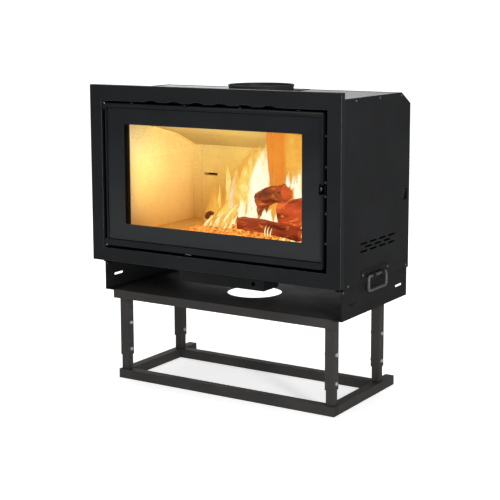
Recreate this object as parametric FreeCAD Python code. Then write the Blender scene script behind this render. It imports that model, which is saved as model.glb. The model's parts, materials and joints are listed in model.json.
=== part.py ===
import FreeCAD, Part
import math
import os

# Wood burning fireplace insert on a height-adjustable steel stand. Millimetres.
# X runs to the viewer's right, -Y is the front with the door, +Z is up.
# The origin is the middle of the footprint, on the floor. Depths are measured back
# from the face of the front frame, so that depth 0 lies at y = FACE_Y.

# ---- driving dimensions ----
FRAME_WIDTH = 900.0
FRAME_TOP = 960.0
FRAME_BOTTOM = 400.0
FRAME_SIDE_BORDER = 45.0
OPENING_TOP = 911.0
OPENING_BOTTOM = 442.0
FRAME_RETURN = 20.0
FRAME_INNER_RETURN = 12.0
SHEET = 2.0

CASING_HALF = 439.0
CASING_FRONT = 38.0
CASING_REAR = 470.0
CASING_TOP = 940.0
SEAM = 387.0
CHAMFER_DEPTH = 62.0
CHAMFER_DROP = 36.0
FRONT_PLATE = 3.0

SCREW_HEAD = 1.5
SCREW_HEAD_R = 3.6
SCREW_ROUND = 0.7
SCREW_R = 2.0
DEPTH = CASING_REAR + SCREW_HEAD
FACE_Y = -DEPTH / 2

STAND_HALF = 400.0
STAND_FRONT = 60.0
STAND_REAR = 460.0
BAR = 30.0
BAR_WALL = 2.0
PLUG_LENGTH = 7.5
PLUG_INSET = 0.5
LEG_X = 380.0
LEG_FRONT = 80.0
LEG_REAR = 378.0
INNER_TUBE = 25.0
UPPER_LEG_BOTTOM = 77.0
LOWER_LEG_TOP = 272.0
LIFT_TRAVEL = 70.0
LEG_BOLT_Z = (97.0, 185.0)
LEG_BOLT_R = 3.0
LEG_SLOT_R = 3.5
BOLT_ACROSS_FLATS = 10.0
BOLT_HEAD = 4.0
BOLT_TAIL = 8.0
NUT_HEIGHT = 5.0

TRAY_HALF = 410.0
TRAY_FRONT = 50.0
TRAY_REAR = 460.0
TRAY_TOP = 296.0
TRAY_THICK = 3.0
TRAY_LIP = 28.0
TRAY_HOLE_R = 87.5
DUCT_DEPTH = 258.0

SKIRT_HALF = 434.0
SKIRT_FOOT = 30.0
SKIRT_HEAD = 20.0
SKIRT_SLOT_Z = 338.0
SKIRT_SLOT_DEPTHS = (107.0, 412.0)
SKIRT_SLOT_LENGTH = 45.0
SKIRT_SLOT_R = 3.5

FIREBOX_HALF = 367.0
FIREBOX_BOTTOM = 455.0
FIREBOX_TOP = 895.0
FIREBOX_REAR = 434.0
FIREBOX_WALL = 4.0
FIREBOX_FLUE_R = 96.0
MOUTH_HALF = 345.0
MOUTH_BOTTOM = 492.0
MOUTH_TOP = 862.0
LINING = 30.0
LINING_GAP = 0.5
LINING_FRONT = 46.0
LINING_BACK = 398.0
LINING_TOP = 862.0
LINING_HALF = FIREBOX_HALF - FIREBOX_WALL - LINING_GAP
HEARTH_TOP = 489.0
SECONDARY_AIR_X = (-262.0, -87.0, 87.0, 262.0)
SECONDARY_AIR_Z = 644.0
GROOVE_X = 300.0
GROOVE_WIDTH = 3.0
GROOVE_DEPTH = 2.5
BAFFLE_THICK = 25.0
BAFFLE_REAR = (397.5, 742.0)
BAFFLE_MIDDLE = (291.0, 788.5)
BAFFLE_FRONT = (160.0, 821.7)
RAIL_THICK = 4.0
RAIL_WIDTH = 12.0

SPIGOT_R = 75.0
SPIGOT_FLANGE_R = 90.0
SPIGOT_LOW = 341.0
AIR_PORT_X = (-80.0, 0.0, 80.0)
AIR_PORT_HALF = 20.0
AIR_PORT_DEPTHS = (70.0, 100.0)
SLIDER_Z0 = 446.0
SLIDER_Z1 = 449.0

FLUE_DEPTH = 300.0
FLUE_BORE_R = 100.5
FLUE_OUTER_R = 103.0
FLUE_TOP = 958.0
FLUE_STOP = 915.0
FLANGE_HALF = 118.0
FLANGE_REAR = 405.0

DOOR_HALF = 391.0
DOOR_BOTTOM = 452.0
DOOR_TOP = 904.0
DOOR_REAR = 28.0
DOOR_CORNER = 7.0
DOOR_LIP = 34.0
DOOR_SHEET = 3.0
TRIM_DEPTH = 26.0
WINDOW_HALF = 320.0
WINDOW_BOTTOM = 525.0
WINDOW_TOP = 839.0
GLASS_HALF = 386.0
GLASS_BOTTOM = 472.0
GLASS_TOP = 890.0
GLASS_FRONT = 1.0
GLASS_THICK = 4.0

HINGE_X = -398.0
HINGE_DEPTH = 5.0
HINGE_PIN_R = 3.0
HINGE_BARREL_R = 5.0
HINGE_ARM = 3.5
HINGE_ARM_X = (-404.0, -390.0)
RUNNING_GAP = 0.05

LATCH_X0 = 379.0
LATCH_X1 = 384.0
LATCH_DEPTH = 20.0
LATCH_Z = 684.0
LATCH_GAP_Z = (670.0, 702.0)
LATCH_CHEEK = 374.5
LATCH_OUTER = 385.5

HANDLE_DEPTH = 237.0
HANDLE_WIDTH = 116.0
HANDLE_DROP = 43.0
HANDLE_ROD_R = 4.6
HANDLE_BEND = 10.0
HANDLE_LUG_R = 8.2
HANDLE_LUG = 12.0
BRACKET_HALF = 89.0
HANDLE_AXIS_X = 449.0
HANDLE_AXIS_Z = 407.0

# Screw places on the side panels, as depth and height.
PANEL_SCREWS = ((108.0, 932.0), (259.0, 932.0), (405.0, 932.0), (67.0, 397.0), (450.0, 397.0))
BRACKET_SCREWS = ((156.0, 415.0), (318.0, 415.0))
SKIRT_SCREWS = ((46.0, 381.0),)
DOOR_TOP_SCREWS = (-300.0, -100.0, 100.0, 300.0)
DOOR_SIDE_SCREWS = (526.0, 614.0, 748.0, 836.0)
DOOR_SCREW_DEPTH = 19.0
LATCH_SCREWS = (664.0, 704.0)
LATCH_SCREW_DEPTH = 15.0

# How far a cutter passes beyond the sheet that it goes through.
PAST = 5.0


# ---- shape helpers, in width, depth and height ----
def point(x, depth, z):
    return FreeCAD.Vector(x, FACE_Y + depth, z)


def box(x0, x1, depth0, depth1, z0, z1):
    return Part.makeBox(x1 - x0, depth1 - depth0, z1 - z0, point(x0, depth0, z0))


def rod(radius, start, end):
    along = end.sub(start)
    return Part.makeCylinder(radius, along.Length, start, along)


def tube(outer, inner, start, end):
    return rod(outer, start, end).cut(rod(inner, start, end))


def upright_rod(radius, depth, z0, z1):
    return rod(radius, point(0, depth, z0), point(0, depth, z1))


def upright_tube(outer, inner, depth, z0, z1):
    return upright_rod(outer, depth, z0, z1).cut(upright_rod(inner, depth, z0, z1))


def joined(shapes):
    whole = shapes[0]
    for shape in shapes[1:]:
        whole = whole.fuse(shape)
    return whole.removeSplitter()


def without(shape, cutters):
    for cutter in cutters:
        shape = shape.cut(cutter)
    return shape


def mirrored(shape):
    return shape.mirror(FreeCAD.Vector(0, 0, 0), FreeCAD.Vector(1, 0, 0))


def profile_x(points, x0, x1):
    """A flat outline given as depth and height, drawn out from x0 to x1."""
    corners = [point(x0, depth, z) for depth, z in points]
    face = Part.Face(Part.makePolygon(corners + corners[:1]))
    return face.extrude(FreeCAD.Vector(x1 - x0, 0, 0))


def slot_along_y(radius, length, depth, z, x0, x1):
    """A round-ended slot that runs along Y and passes from x0 to x1."""
    reach = length / 2 - radius
    return joined([
        box(x0, x1, depth - reach, depth + reach, z - radius, z + radius),
        rod(radius, point(x0, depth - reach, z), point(x1, depth - reach, z)),
        rod(radius, point(x0, depth + reach, z), point(x1, depth + reach, z)),
    ])


def slot_along_z(radius, z0, z1, depth, x0, x1):
    """A round-ended slot between the bolt heights z0 and z1, from x0 to x1."""
    return joined([
        box(x0, x1, depth - radius, depth + radius, z0, z1),
        rod(radius, point(x0, depth, z0), point(x1, depth, z0)),
        rod(radius, point(x0, depth, z1), point(x1, depth, z1)),
    ])


def slab(outline, depth0, depth1, corner=0.0):
    """An upright slab. Its outline is (half width, bottom, top), with rounded corners if asked."""
    half, bottom, top = outline
    body = box(-half, half, depth0, depth1, bottom, top)
    if corner:
        upright = [edge for edge in body.Edges if edge.BoundBox.YLength > (depth1 - depth0) / 2]
        body = body.makeFillet(corner, upright)
    return body


def inset(outline, sheet):
    half, bottom, top = outline
    return (half - sheet, bottom + sheet, top - sheet)


def ring_plate(outer, inner, depth0, depth1, outer_corner=0.0, inner_corner=0.0):
    """A rectangular ring: outer and inner are (half width, bottom, top)."""
    body = slab(outer, depth0, depth1, outer_corner)
    return body.cut(slab(inner, depth0 - 1, depth1 + 1, inner_corner))


def screw_x(x, depth, z, side, shank=6.0):
    """A pan-head screw on a face at x. side is +1 where the head points to +X."""
    head = rod(SCREW_HEAD_R, point(x, depth, z), point(x + side * SCREW_HEAD, depth, z))
    head = head.makeFillet(SCREW_ROUND, [head.Edges[index] for index in outer_edges(head, x, "x")])
    return head.fuse(rod(SCREW_R, point(x - side * shank, depth, z), point(x, depth, z)))


def screw_z(x, depth, z, side, shank=6.0):
    head = rod(SCREW_HEAD_R, point(x, depth, z), point(x, depth, z + side * SCREW_HEAD))
    head = head.makeFillet(SCREW_ROUND, [head.Edges[index] for index in outer_edges(head, z, "z")])
    return head.fuse(rod(SCREW_R, point(x, depth, z - side * shank), point(x, depth, z)))


def screw_y(x, z, depth=CASING_REAR, side=1, shank=6.0):
    start = point(x, depth, z)
    head = rod(SCREW_HEAD_R, start, point(x, depth + side * SCREW_HEAD, z))
    return head.fuse(rod(SCREW_R, point(x, depth - side * shank, z), start))


def outer_edges(head, seat, axis):
    """The circular edges of a screw head that lie away from its seat."""
    found = []
    for index, edge in enumerate(head.Edges):
        centre = getattr(edge.BoundBox.Center, axis)
        if edge.Closed and abs(centre - seat) > SCREW_HEAD * 0.9:
            found.append(index)
    return found


def holes_x(places, x0, x1, radius=SCREW_R):
    return [rod(radius, point(x0, depth, z), point(x1, depth, z)) for depth, z in places]


def save(name, shapes):
    shape = shapes[0] if len(shapes) == 1 else Part.makeCompound(shapes)
    for solid in shapes:
        if not solid.isValid() or not solid.Solids:
            print("BAD", name)
    shape.exportStep("parts/" + name + ".step")
    print(name, len(shape.Solids), round(shape.Volume / 1000.0, 1))


# ---- stand: welded base ----
def base_crossbar(front, half):
    outer = box(-half, half, front, front + BAR, 0, BAR)
    inner = box(-half, half, front + BAR_WALL, front + BAR - BAR_WALL, BAR_WALL, BAR - BAR_WALL)
    return outer.cut(inner)


def base_rail():
    x0 = STAND_HALF - BAR
    front = STAND_FRONT + BAR
    outer = box(x0, STAND_HALF, front, STAND_REAR, 0, BAR)
    inner = box(x0 + BAR_WALL, STAND_HALF - BAR_WALL, front, STAND_REAR, BAR_WALL, BAR - BAR_WALL)
    return outer.cut(inner)


def base_plugs():
    """Square plugs pressed into the open ends of the base tubes."""
    low, high = BAR_WALL, BAR - BAR_WALL
    rear = STAND_REAR - PLUG_INSET
    side = STAND_HALF - PLUG_INSET
    in_rail = box(STAND_HALF - BAR + low, STAND_HALF - BAR + high, rear - PLUG_LENGTH, rear, low, high)
    in_bar = box(side - PLUG_LENGTH, side, STAND_FRONT + low, STAND_FRONT + high, low, high)
    return [in_rail, mirrored(in_rail), in_bar, mirrored(in_bar)]


def lower_leg(x, depth):
    half = INNER_TUBE / 2
    bore = half - BAR_WALL
    leg = box(x - half, x + half, depth - half, depth + half, BAR, LOWER_LEG_TOP)
    leg = leg.cut(box(x - bore, x + bore, depth - bore, depth + bore, BAR, LOWER_LEG_TOP))
    spare = 0.5
    slots = [slot_along_z(LEG_SLOT_R, z - spare, z + LIFT_TRAVEL + spare, depth, x - BAR, x + BAR)
             for z in LEG_BOLT_Z]
    return without(leg, slots)


def upper_leg(x, depth):
    half = BAR / 2
    bore = half - BAR_WALL
    top = TRAY_TOP - TRAY_THICK
    leg = box(x - half, x + half, depth - half, depth + half, UPPER_LEG_BOTTOM, top)
    leg = leg.cut(box(x - bore, x + bore, depth - bore, depth + bore, UPPER_LEG_BOTTOM, top))
    bolt_holes = [rod(LEG_BOLT_R, point(x - BAR, depth, z), point(x + BAR, depth, z))
                  for z in LEG_BOLT_Z]
    return without(leg, bolt_holes)


def hexagon_x(across, x0, x1, depth, z):
    radius = across / math.sqrt(3)
    corners = [(depth + radius * math.cos(math.radians(60 * k)),
                z + radius * math.sin(math.radians(60 * k))) for k in range(6)]
    return profile_x(corners, x0, x1)


def leg_bolt(x, depth, z, side):
    """A hexagon bolt through a leg along X, head on the outer side."""
    face = x + side * BAR / 2
    tail = x - side * (BAR / 2 + BOLT_TAIL)
    shank = rod(LEG_BOLT_R, point(face, depth, z), point(tail, depth, z))
    x0, x1 = sorted((face, face + side * BOLT_HEAD))
    return hexagon_x(BOLT_ACROSS_FLATS, x0, x1, depth, z).fuse(shank)


def leg_nut(x, depth, z, side):
    face = x - side * BAR / 2
    x0, x1 = sorted((face, face - side * NUT_HEIGHT))
    nut = hexagon_x(BOLT_ACROSS_FLATS, x0, x1, depth, z)
    return nut.cut(rod(LEG_BOLT_R, point(x0, depth, z), point(x1, depth, z)))


def stand_tray():
    """The shelf on the legs, with a lip folded down along its front edge."""
    outer = box(-TRAY_HALF, TRAY_HALF, TRAY_FRONT, TRAY_REAR, TRAY_TOP - TRAY_LIP, TRAY_TOP)
    past = TRAY_HALF + PAST
    inner = box(-past, past, TRAY_FRONT + SHEET, TRAY_REAR + PAST,
                TRAY_TOP - TRAY_LIP, TRAY_TOP - TRAY_THICK)
    duct_hole = upright_rod(TRAY_HOLE_R, DUCT_DEPTH, TRAY_TOP - PAST, TRAY_TOP + PAST)
    return without(outer, [inner, duct_hole])


# ---- casing ----
def skirt():
    """A folded side plate under the body, with a foot flange on the tray and two long slots."""
    inner_x = SKIRT_HALF - SHEET
    front = CASING_FRONT + SHEET
    wall = box(inner_x, SKIRT_HALF, front, CASING_REAR, TRAY_TOP, SEAM)
    foot = box(inner_x - SKIRT_FOOT, inner_x, front, CASING_REAR, TRAY_TOP, TRAY_TOP + SHEET)
    head = box(inner_x - SKIRT_HEAD, inner_x, front, CASING_REAR, SEAM - SHEET, SEAM)
    reach = (inner_x - PAST, SKIRT_HALF + PAST)
    slots = [slot_along_y(SKIRT_SLOT_R, SKIRT_SLOT_LENGTH, depth, SKIRT_SLOT_Z, *reach)
             for depth in SKIRT_SLOT_DEPTHS]
    return without(joined([wall, foot, head]), slots + holes_x(SKIRT_SCREWS, *reach))


def body_floor():
    """The galvanised floor of the body, with a turned-up lip along each side."""
    half = CASING_HALF - SHEET
    bottom = SEAM + SHEET
    lip_height = 20.0
    plate = box(-half, half, CASING_FRONT + FRONT_PLATE, CASING_REAR - SHEET, bottom, bottom + SHEET)
    lip = box(half - SHEET, half, CASING_FRONT + 20, CASING_REAR - 4,
              bottom + SHEET, bottom + SHEET + lip_height)
    plate = joined([plate, lip, mirrored(lip)])
    inlet = upright_rod(SPIGOT_R - SHEET, DUCT_DEPTH, bottom - PAST, bottom + 2 * PAST)
    front_air = box(-140, 140, 66, 120, bottom - PAST, bottom + 2 * PAST)
    places = [place for place in PANEL_SCREWS + BRACKET_SCREWS if place[1] < FIREBOX_BOTTOM]
    sides = holes_x(places, half - PAST, half + PAST)
    return without(plate, [inlet, front_air] + sides + [mirrored(hole) for hole in sides])


def vent_slots():
    """Three staggered rows of narrow air slots low on the side panel."""
    pitch, length, radius = 61.0, 46.0, 2.8
    first, middle_z, row_gap = 165.0, 497.5, 11.5
    places = []
    for row, count in ((1, 4), (0, 3), (-1, 4)):
        shift = 0.0 if row else pitch / 2
        places += [(first + shift + pitch * k, middle_z + row_gap * row) for k in range(count)]
    return [slot_along_y(radius, length, depth, z, CASING_HALF - PAST, CASING_HALF + PAST)
            for depth, z in places]


def side_panel():
    rear_top = CASING_REAR - CHAMFER_DEPTH
    outline = ((CASING_FRONT, SEAM), (CASING_REAR, SEAM), (CASING_REAR, CASING_TOP - CHAMFER_DROP),
               (rear_top, CASING_TOP), (CASING_FRONT, CASING_TOP))
    inner_x = CASING_HALF - SHEET
    fold_width = 15.0
    wall = profile_x(outline, inner_x, CASING_HALF)
    fold = box(inner_x - fold_width, inner_x, CASING_FRONT + FRONT_PLATE, CASING_REAR - SHEET,
               SEAM, SEAM + SHEET)
    holes = holes_x(PANEL_SCREWS + BRACKET_SCREWS, CASING_HALF - PAST, CASING_HALF + PAST)
    return without(joined([wall, fold]), vent_slots() + holes)


def side_panel_right():
    """The right panel also has a cable cut-out near the rear, with its tab bent inwards."""
    depth0, depth1, z0, z1 = 424.0, 454.0, 606.0, 640.0
    tab_length = 12.0
    cut_out = box(CASING_HALF - PAST, CASING_HALF + PAST, depth0, depth1, z0, z1)
    inner_x = CASING_HALF - SHEET
    tab = box(inner_x - tab_length, inner_x, depth0 + SHEET, depth1 - SHEET, z0 - SHEET, z0)
    return joined([side_panel().cut(cut_out), tab])


def back_panel():
    """The galvanised back, folded forward along the chamfer at its top."""
    rear_top = CASING_REAR - CHAMFER_DEPTH
    chamfer_low = CASING_TOP - CHAMFER_DROP
    low = SEAM + SHEET
    slope = math.hypot(CHAMFER_DEPTH, CHAMFER_DROP)
    drop = SHEET * slope / CHAMFER_DEPTH
    turn = SHEET * (slope - CHAMFER_DROP) / CHAMFER_DEPTH
    inner = CASING_REAR - SHEET
    outline = ((CASING_REAR, low), (CASING_REAR, chamfer_low), (rear_top, CASING_TOP),
               (rear_top, CASING_TOP - drop), (inner, chamfer_low - turn), (inner, low))
    half = CASING_HALF - SHEET - 0.2
    panel = profile_x(outline, -half, half)
    holes = [rod(SCREW_R, point(x, CASING_REAR - 8, z), point(x, CASING_REAR + 1, z))
             for x, z in back_screw_places()]
    return without(panel, holes)


def back_screw_places():
    return [(x, z) for x in (-420.0, -140.0, 140.0, 420.0) for z in (400.0, 885.0)]


def top_panel():
    """The galvanised lid, with a strip under each side edge that takes the side screws."""
    half = CASING_HALF - SHEET
    rear = CASING_REAR - CHAMFER_DEPTH - 0.5
    top = CASING_TOP - SHEET
    strip_height = 14.0
    plate = box(-half, half, CASING_FRONT + FRONT_PLATE, rear, top - SHEET, top)
    collar_hole = upright_rod(FLUE_OUTER_R + 1.5, FLUE_DEPTH, top - 2 * PAST, top + 2 * PAST)
    places = [place for place in PANEL_SCREWS if place[1] > FIREBOX_TOP]
    strip = box(half - SHEET, half, CASING_FRONT + 20, rear, top - SHEET - strip_height, top - SHEET)
    strip = without(strip, holes_x(places, half - PAST, half + PAST))
    return [plate.cut(collar_hole), strip, mirrored(strip)]


def front_plate():
    """The steel face of the body round the firebox mouth, with its rows of warm-air openings."""
    half = CASING_HALF - SHEET
    front, rear = CASING_FRONT - PAST, CASING_FRONT + FRONT_PLATE
    past = rear + 1
    plate = box(-half, half, CASING_FRONT, rear, SEAM + SHEET, CASING_TOP - SHEET)
    lip = box(half - SHEET, half, rear, CASING_FRONT + 18, SEAM + 30, CASING_TOP - 24)
    mouth = box(-MOUTH_HALF, MOUTH_HALF, front, past + 20, MOUTH_BOTTOM, MOUTH_TOP)
    latch_slot = box(374, 392, front, past, *LATCH_GAP_Z)
    slider_slot = box(-132, -32, front, past, SLIDER_Z0 - SHEET, SLIDER_Z1 + SHEET)
    vents = [box(x - 30, x + 30, front, past, z, z + 14) for x in outlet_centres() for z in (418, 910)]
    return without(joined([plate, lip, mirrored(lip)]), [mouth, latch_slot, slider_slot] + vents)


def outlet_centres():
    """Six warm-air outlets, evenly spaced about the middle."""
    return [84.5 * (k - 2.5) for k in range(6)]


def outlet_arches():
    """Shallow arcs cut up into the top edge of the surround's opening, one at each outlet."""
    half_chord, rise = 25.0, 5.0
    radius = (half_chord ** 2 + rise ** 2) / (2 * rise)
    centre = OPENING_TOP + rise - radius
    front, rear = -1, FRAME_INNER_RETURN + 1
    return [rod(radius, point(x, front, centre), point(x, rear, centre))
            .common(box(x - half_chord, x + half_chord, front, rear, OPENING_TOP - 1, OPENING_TOP + 2 * rise))
            for x in outlet_centres()]


def front_frame():
    """The surround: one folded sheet with an outer and an inner return."""
    edge = (FRAME_WIDTH / 2, FRAME_BOTTOM, FRAME_TOP)
    opening = (FRAME_WIDTH / 2 - FRAME_SIDE_BORDER, OPENING_BOTTOM, OPENING_TOP)
    face = ring_plate(edge, opening, 0, SHEET)
    outer_return = ring_plate(edge, inset(edge, SHEET), SHEET, FRAME_RETURN)
    inner_return = ring_plate(inset(opening, -SHEET), opening, SHEET, FRAME_INNER_RETURN)
    return without(joined([face, outer_return, inner_return]), outlet_arches())


def frame_neck():
    """The set-back tube that carries the surround on the front plate."""
    outline = (432.0, 408.0, 934.0)
    return ring_plate(outline, inset(outline, SHEET), SHEET, CASING_FRONT)


def primary_air_box():
    """A folded box under the front of the floor, open at the top."""
    half, front, rear, low = 157.0, 60.0, 146.0, 351.0
    top = SEAM + SHEET
    outer = box(-half, half, front, rear, low, top)
    inner = box(-half + SHEET, half - SHEET, front + SHEET, rear - SHEET, low + SHEET, top)
    cable_hole = rod(6.5, point(119, front - PAST, 370), point(119, front + PAST, 370))
    return without(outer, [inner, cable_hole])


def air_inlet_spigot():
    top = SEAM + SHEET
    wall = upright_tube(SPIGOT_R, SPIGOT_R - SHEET, DUCT_DEPTH, SPIGOT_LOW, top)
    rim = upright_tube(SPIGOT_FLANGE_R, SPIGOT_R, DUCT_DEPTH, top - SHEET, top)
    return joined([wall, rim])


# ---- firebox ----
def firebox_shell():
    """The welded steel box, open at the front, with the flue, ash and air holes."""
    wall = FIREBOX_WALL
    front = CASING_FRONT + FRONT_PLATE
    outer = box(-FIREBOX_HALF, FIREBOX_HALF, front, FIREBOX_REAR, FIREBOX_BOTTOM, FIREBOX_TOP)
    inner = box(-FIREBOX_HALF + wall, FIREBOX_HALF - wall, front, FIREBOX_REAR - wall,
                FIREBOX_BOTTOM + wall, FIREBOX_TOP - wall)
    flue_hole = upright_rod(FIREBOX_FLUE_R, FLUE_DEPTH, FIREBOX_TOP - 2 * PAST, FIREBOX_TOP + PAST)
    z0, z1 = FIREBOX_BOTTOM - PAST, FIREBOX_BOTTOM + 2 * PAST
    pan_hole = box(-98, 98, 162, 288, z0, z1)
    return without(outer, [inner, flue_hole, pan_hole] + air_ports(z0, z1))


def air_ports(z0, z1):
    """Three primary air ports, alike in the duct, the slider and the firebox floor."""
    return [box(x - AIR_PORT_HALF, x + AIR_PORT_HALF, *AIR_PORT_DEPTHS, z0, z1) for x in AIR_PORT_X]


def lining_side():
    return box(LINING_HALF - LINING, LINING_HALF, LINING_FRONT, LINING_BACK, HEARTH_TOP, LINING_TOP)


def lining_back():
    """The back board, with secondary air slots and grooves that outline its middle field."""
    board = box(-LINING_HALF, LINING_HALF, LINING_BACK, LINING_BACK + LINING, HEARTH_TOP, LINING_TOP)
    half_length, half_height = 27.0, 4.0
    slots = [box(x - half_length, x + half_length, LINING_BACK - PAST, LINING_BACK + LINING + PAST,
                 SECONDARY_AIR_Z - half_height, SECONDARY_AIR_Z + half_height) for x in SECONDARY_AIR_X]
    half = GROOVE_WIDTH / 2
    depths = (LINING_BACK - 1, LINING_BACK + GROOVE_DEPTH)
    top = BAFFLE_REAR[1] - GROOVE_WIDTH - 2
    upright = box(GROOVE_X - half, GROOVE_X + half, *depths, HEARTH_TOP, top)
    level = box(-GROOVE_X, GROOVE_X, *depths, top - GROOVE_WIDTH, top)
    return without(board, slots + [upright, mirrored(upright), level])


def hearth_slab():
    slab_low = FIREBOX_BOTTOM + FIREBOX_WALL
    z0, z1 = slab_low - PAST, HEARTH_TOP + PAST
    board = box(-LINING_HALF, LINING_HALF, LINING_FRONT, 429, slab_low, HEARTH_TOP)
    grate_hole = box(-111, 111, 149, 301, z0, z1)
    return without(board, [grate_hole] + air_ports(z0, z1))


def fire_grate():
    """A cast grate with eleven slots, on four feet that stand on the firebox floor."""
    top, under = HEARTH_TOP, HEARTH_TOP - 13
    floor = FIREBOX_BOTTOM + FIREBOX_WALL + 2
    plate = box(-110, 110, 150, 300, under, top)
    pitch, half_slot = 18.0, 4.0
    slots = [box(pitch * k - half_slot, pitch * k + half_slot, 162, 288, under - PAST, top + PAST)
             for k in range(-5, 6)]
    feet = [box(x, x + 10, depth, depth + 7, floor, under) for x in (-109, 99) for depth in (151, 292)]
    return joined([without(plate, slots)] + feet)


def ash_pan():
    """A shallow drawer-like pan that hangs by its rim in the firebox floor, under the grate."""
    rim_top = FIREBOX_BOTTOM + FIREBOX_WALL + SHEET
    floor = 410.0
    outer = box(-96, 96, 164, 286, floor, rim_top)
    rim = box(-105, 105, 155, 295, rim_top - SHEET, rim_top)
    inner = box(-96 + SHEET, 96 - SHEET, 164 + SHEET, 286 - SHEET, floor + SHEET, rim_top + PAST)
    return joined([outer, rim]).cut(inner)


def baffle(rear, front):
    """A sloping smoke baffle board between two places given as depth and height."""
    half = LINING_HALF - LINING - 1.0
    outline = (rear, front, (front[0], front[1] + BAFFLE_THICK), (rear[0], rear[1] + BAFFLE_THICK))
    return profile_x(outline, -half, half)


def baffle_boards():
    half_gap = 0.5
    slope = (BAFFLE_MIDDLE[1] - BAFFLE_REAR[1]) / (BAFFLE_REAR[0] - BAFFLE_MIDDLE[0])
    rear_end = (BAFFLE_MIDDLE[0] + half_gap, BAFFLE_MIDDLE[1] - slope * half_gap)
    front_start = (BAFFLE_MIDDLE[0] - half_gap, BAFFLE_MIDDLE[1] + 0.2)
    return [baffle(BAFFLE_REAR, rear_end), baffle(front_start, BAFFLE_FRONT)]


def baffle_rail():
    """A steel ledge on the side lining that carries the baffle boards' edges."""
    x1 = LINING_HALF - LINING
    path = (BAFFLE_REAR, BAFFLE_MIDDLE, (BAFFLE_FRONT[0], BAFFLE_FRONT[1] - 0.2))
    under = [(depth, z - RAIL_THICK) for depth, z in reversed(path)]
    return profile_x(list(path) + under, x1 - RAIL_WIDTH, x1)


def flue_collar():
    wall = upright_tube(FLUE_OUTER_R, FLUE_BORE_R, FLUE_DEPTH, FIREBOX_TOP, FLUE_TOP)
    stop = upright_tube(FLUE_BORE_R, FIREBOX_FLUE_R, FLUE_DEPTH, FIREBOX_TOP, FLUE_STOP)
    bead = upright_tube(FLUE_OUTER_R + 2, FLUE_OUTER_R, FLUE_DEPTH, FLUE_TOP - 5, FLUE_TOP)
    return joined([wall, stop, bead])


def flue_flange():
    low = CASING_TOP - SHEET
    plate = box(-FLANGE_HALF, FLANGE_HALF, FLUE_DEPTH - FLANGE_HALF, FLANGE_REAR, low, low + 3)
    return plate.cut(upright_rod(FLUE_OUTER_R, FLUE_DEPTH, low - 1, low + PAST))


# ---- air control ----
def air_duct():
    """The duct from the floor up to the slider, with keeper strips along the slider."""
    half, front, rear = 150.0, 48.0, 128.0
    low = SEAM + 2 * SHEET
    top = SLIDER_Z0 - 0.5
    keeper_top = SLIDER_Z1 + SHEET
    outer = box(-half, half, front, rear, low, top)
    inner = box(-half + SHEET, half - SHEET, front + SHEET, rear - SHEET, low, top - SHEET)
    front_keeper = box(-20, half, front, front + 3, top, keeper_top)
    rear_keeper = box(-half, half, rear - 7, rear - 4, top, keeper_top)
    rear_window = box(-110, 110, rear - 2 * PAST, rear + PAST, 400, 434)
    cutters = [inner, rear_window] + air_ports(top - PAST, top + PAST)
    return without(joined([outer, front_keeper, rear_keeper]), cutters)


def air_slider():
    """The sliding air plate, with the tongue that is pushed from below the door."""
    plate = box(-115, 115, 54, 118, SLIDER_Z0, SLIDER_Z1)
    tongue = box(-97, -77, 12, 54, SLIDER_Z0, SLIDER_Z1)
    return without(joined([plate, tongue]), air_ports(SLIDER_Z0 - PAST, SLIDER_Z1 + PAST))


# ---- door ----
def door_side_holes():
    """The screw holes through both side edges, with the latch's two on the right."""
    reach = (DOOR_HALF - 2 * PAST, DOOR_HALF + PAST)
    holes = holes_x([(DOOR_SCREW_DEPTH, z) for z in DOOR_SIDE_SCREWS], *reach)
    latch_holes = holes_x([(LATCH_SCREW_DEPTH, z) for z in LATCH_SCREWS], *reach)
    return holes + [mirrored(hole) for hole in holes] + latch_holes


def door_top_holes():
    return [rod(SCREW_R, point(x, DOOR_SCREW_DEPTH, DOOR_TOP - 12), point(x, DOOR_SCREW_DEPTH, DOOR_TOP + 1))
            for x in DOOR_TOP_SCREWS]


def door_frame():
    """A hollow folded ring behind the glass, with a lip round its back."""
    front = 9.0
    sheet = DOOR_SHEET
    corner = DOOR_CORNER - SHEET
    outer = inset((DOOR_HALF, DOOR_BOTTOM, DOOR_TOP), SHEET + 0.5)
    inner = (WINDOW_HALF + 6, WINDOW_BOTTOM - 6, WINDOW_TOP + 6)
    body = ring_plate(outer, inner, front, DOOR_REAR, corner)
    hollow = ring_plate(inset(outer, sheet), inset(inner, -sheet), front + sheet, DOOR_REAR - sheet)
    lip = ring_plate(outer, inset(outer, sheet), DOOR_REAR, DOOR_LIP, corner)
    arm_slot = box(375, 385.5, DOOR_REAR - 8, DOOR_REAR + 2, 670, 700)
    cutters = [hollow, latch_notch(), arm_slot]
    return without(joined([body, lip]), cutters + door_side_holes() + door_top_holes())


def latch_notch():
    """The finger recess in the door's right edge, where the latch tool goes in."""
    return box(378, DOOR_HALF + 1, -1, 16, 670, 698)


def door_trim():
    """The folded bezel round the glass: a band in front, thin walls at the sides."""
    outer = (DOOR_HALF, DOOR_BOTTOM, DOOR_TOP)
    band_depth, bevel, glass_gap = 6.0, 4.0, 0.5
    glass = inset((GLASS_HALF, GLASS_BOTTOM, GLASS_TOP), -glass_gap)
    band = ring_plate(outer, glass, 0, band_depth, DOOR_CORNER)
    top_bevel = profile_x(((-0.01, DOOR_TOP - bevel), (bevel, DOOR_TOP + 0.01), (-0.01, DOOR_TOP + 0.01)),
                          -DOOR_HALF, DOOR_HALF)
    wall = ring_plate(outer, inset(outer, SHEET), band_depth, TRIM_DEPTH, DOOR_CORNER, DOOR_CORNER - SHEET)
    return without(joined([band, wall]), [top_bevel, latch_notch()] + door_side_holes() + door_top_holes())


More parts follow.
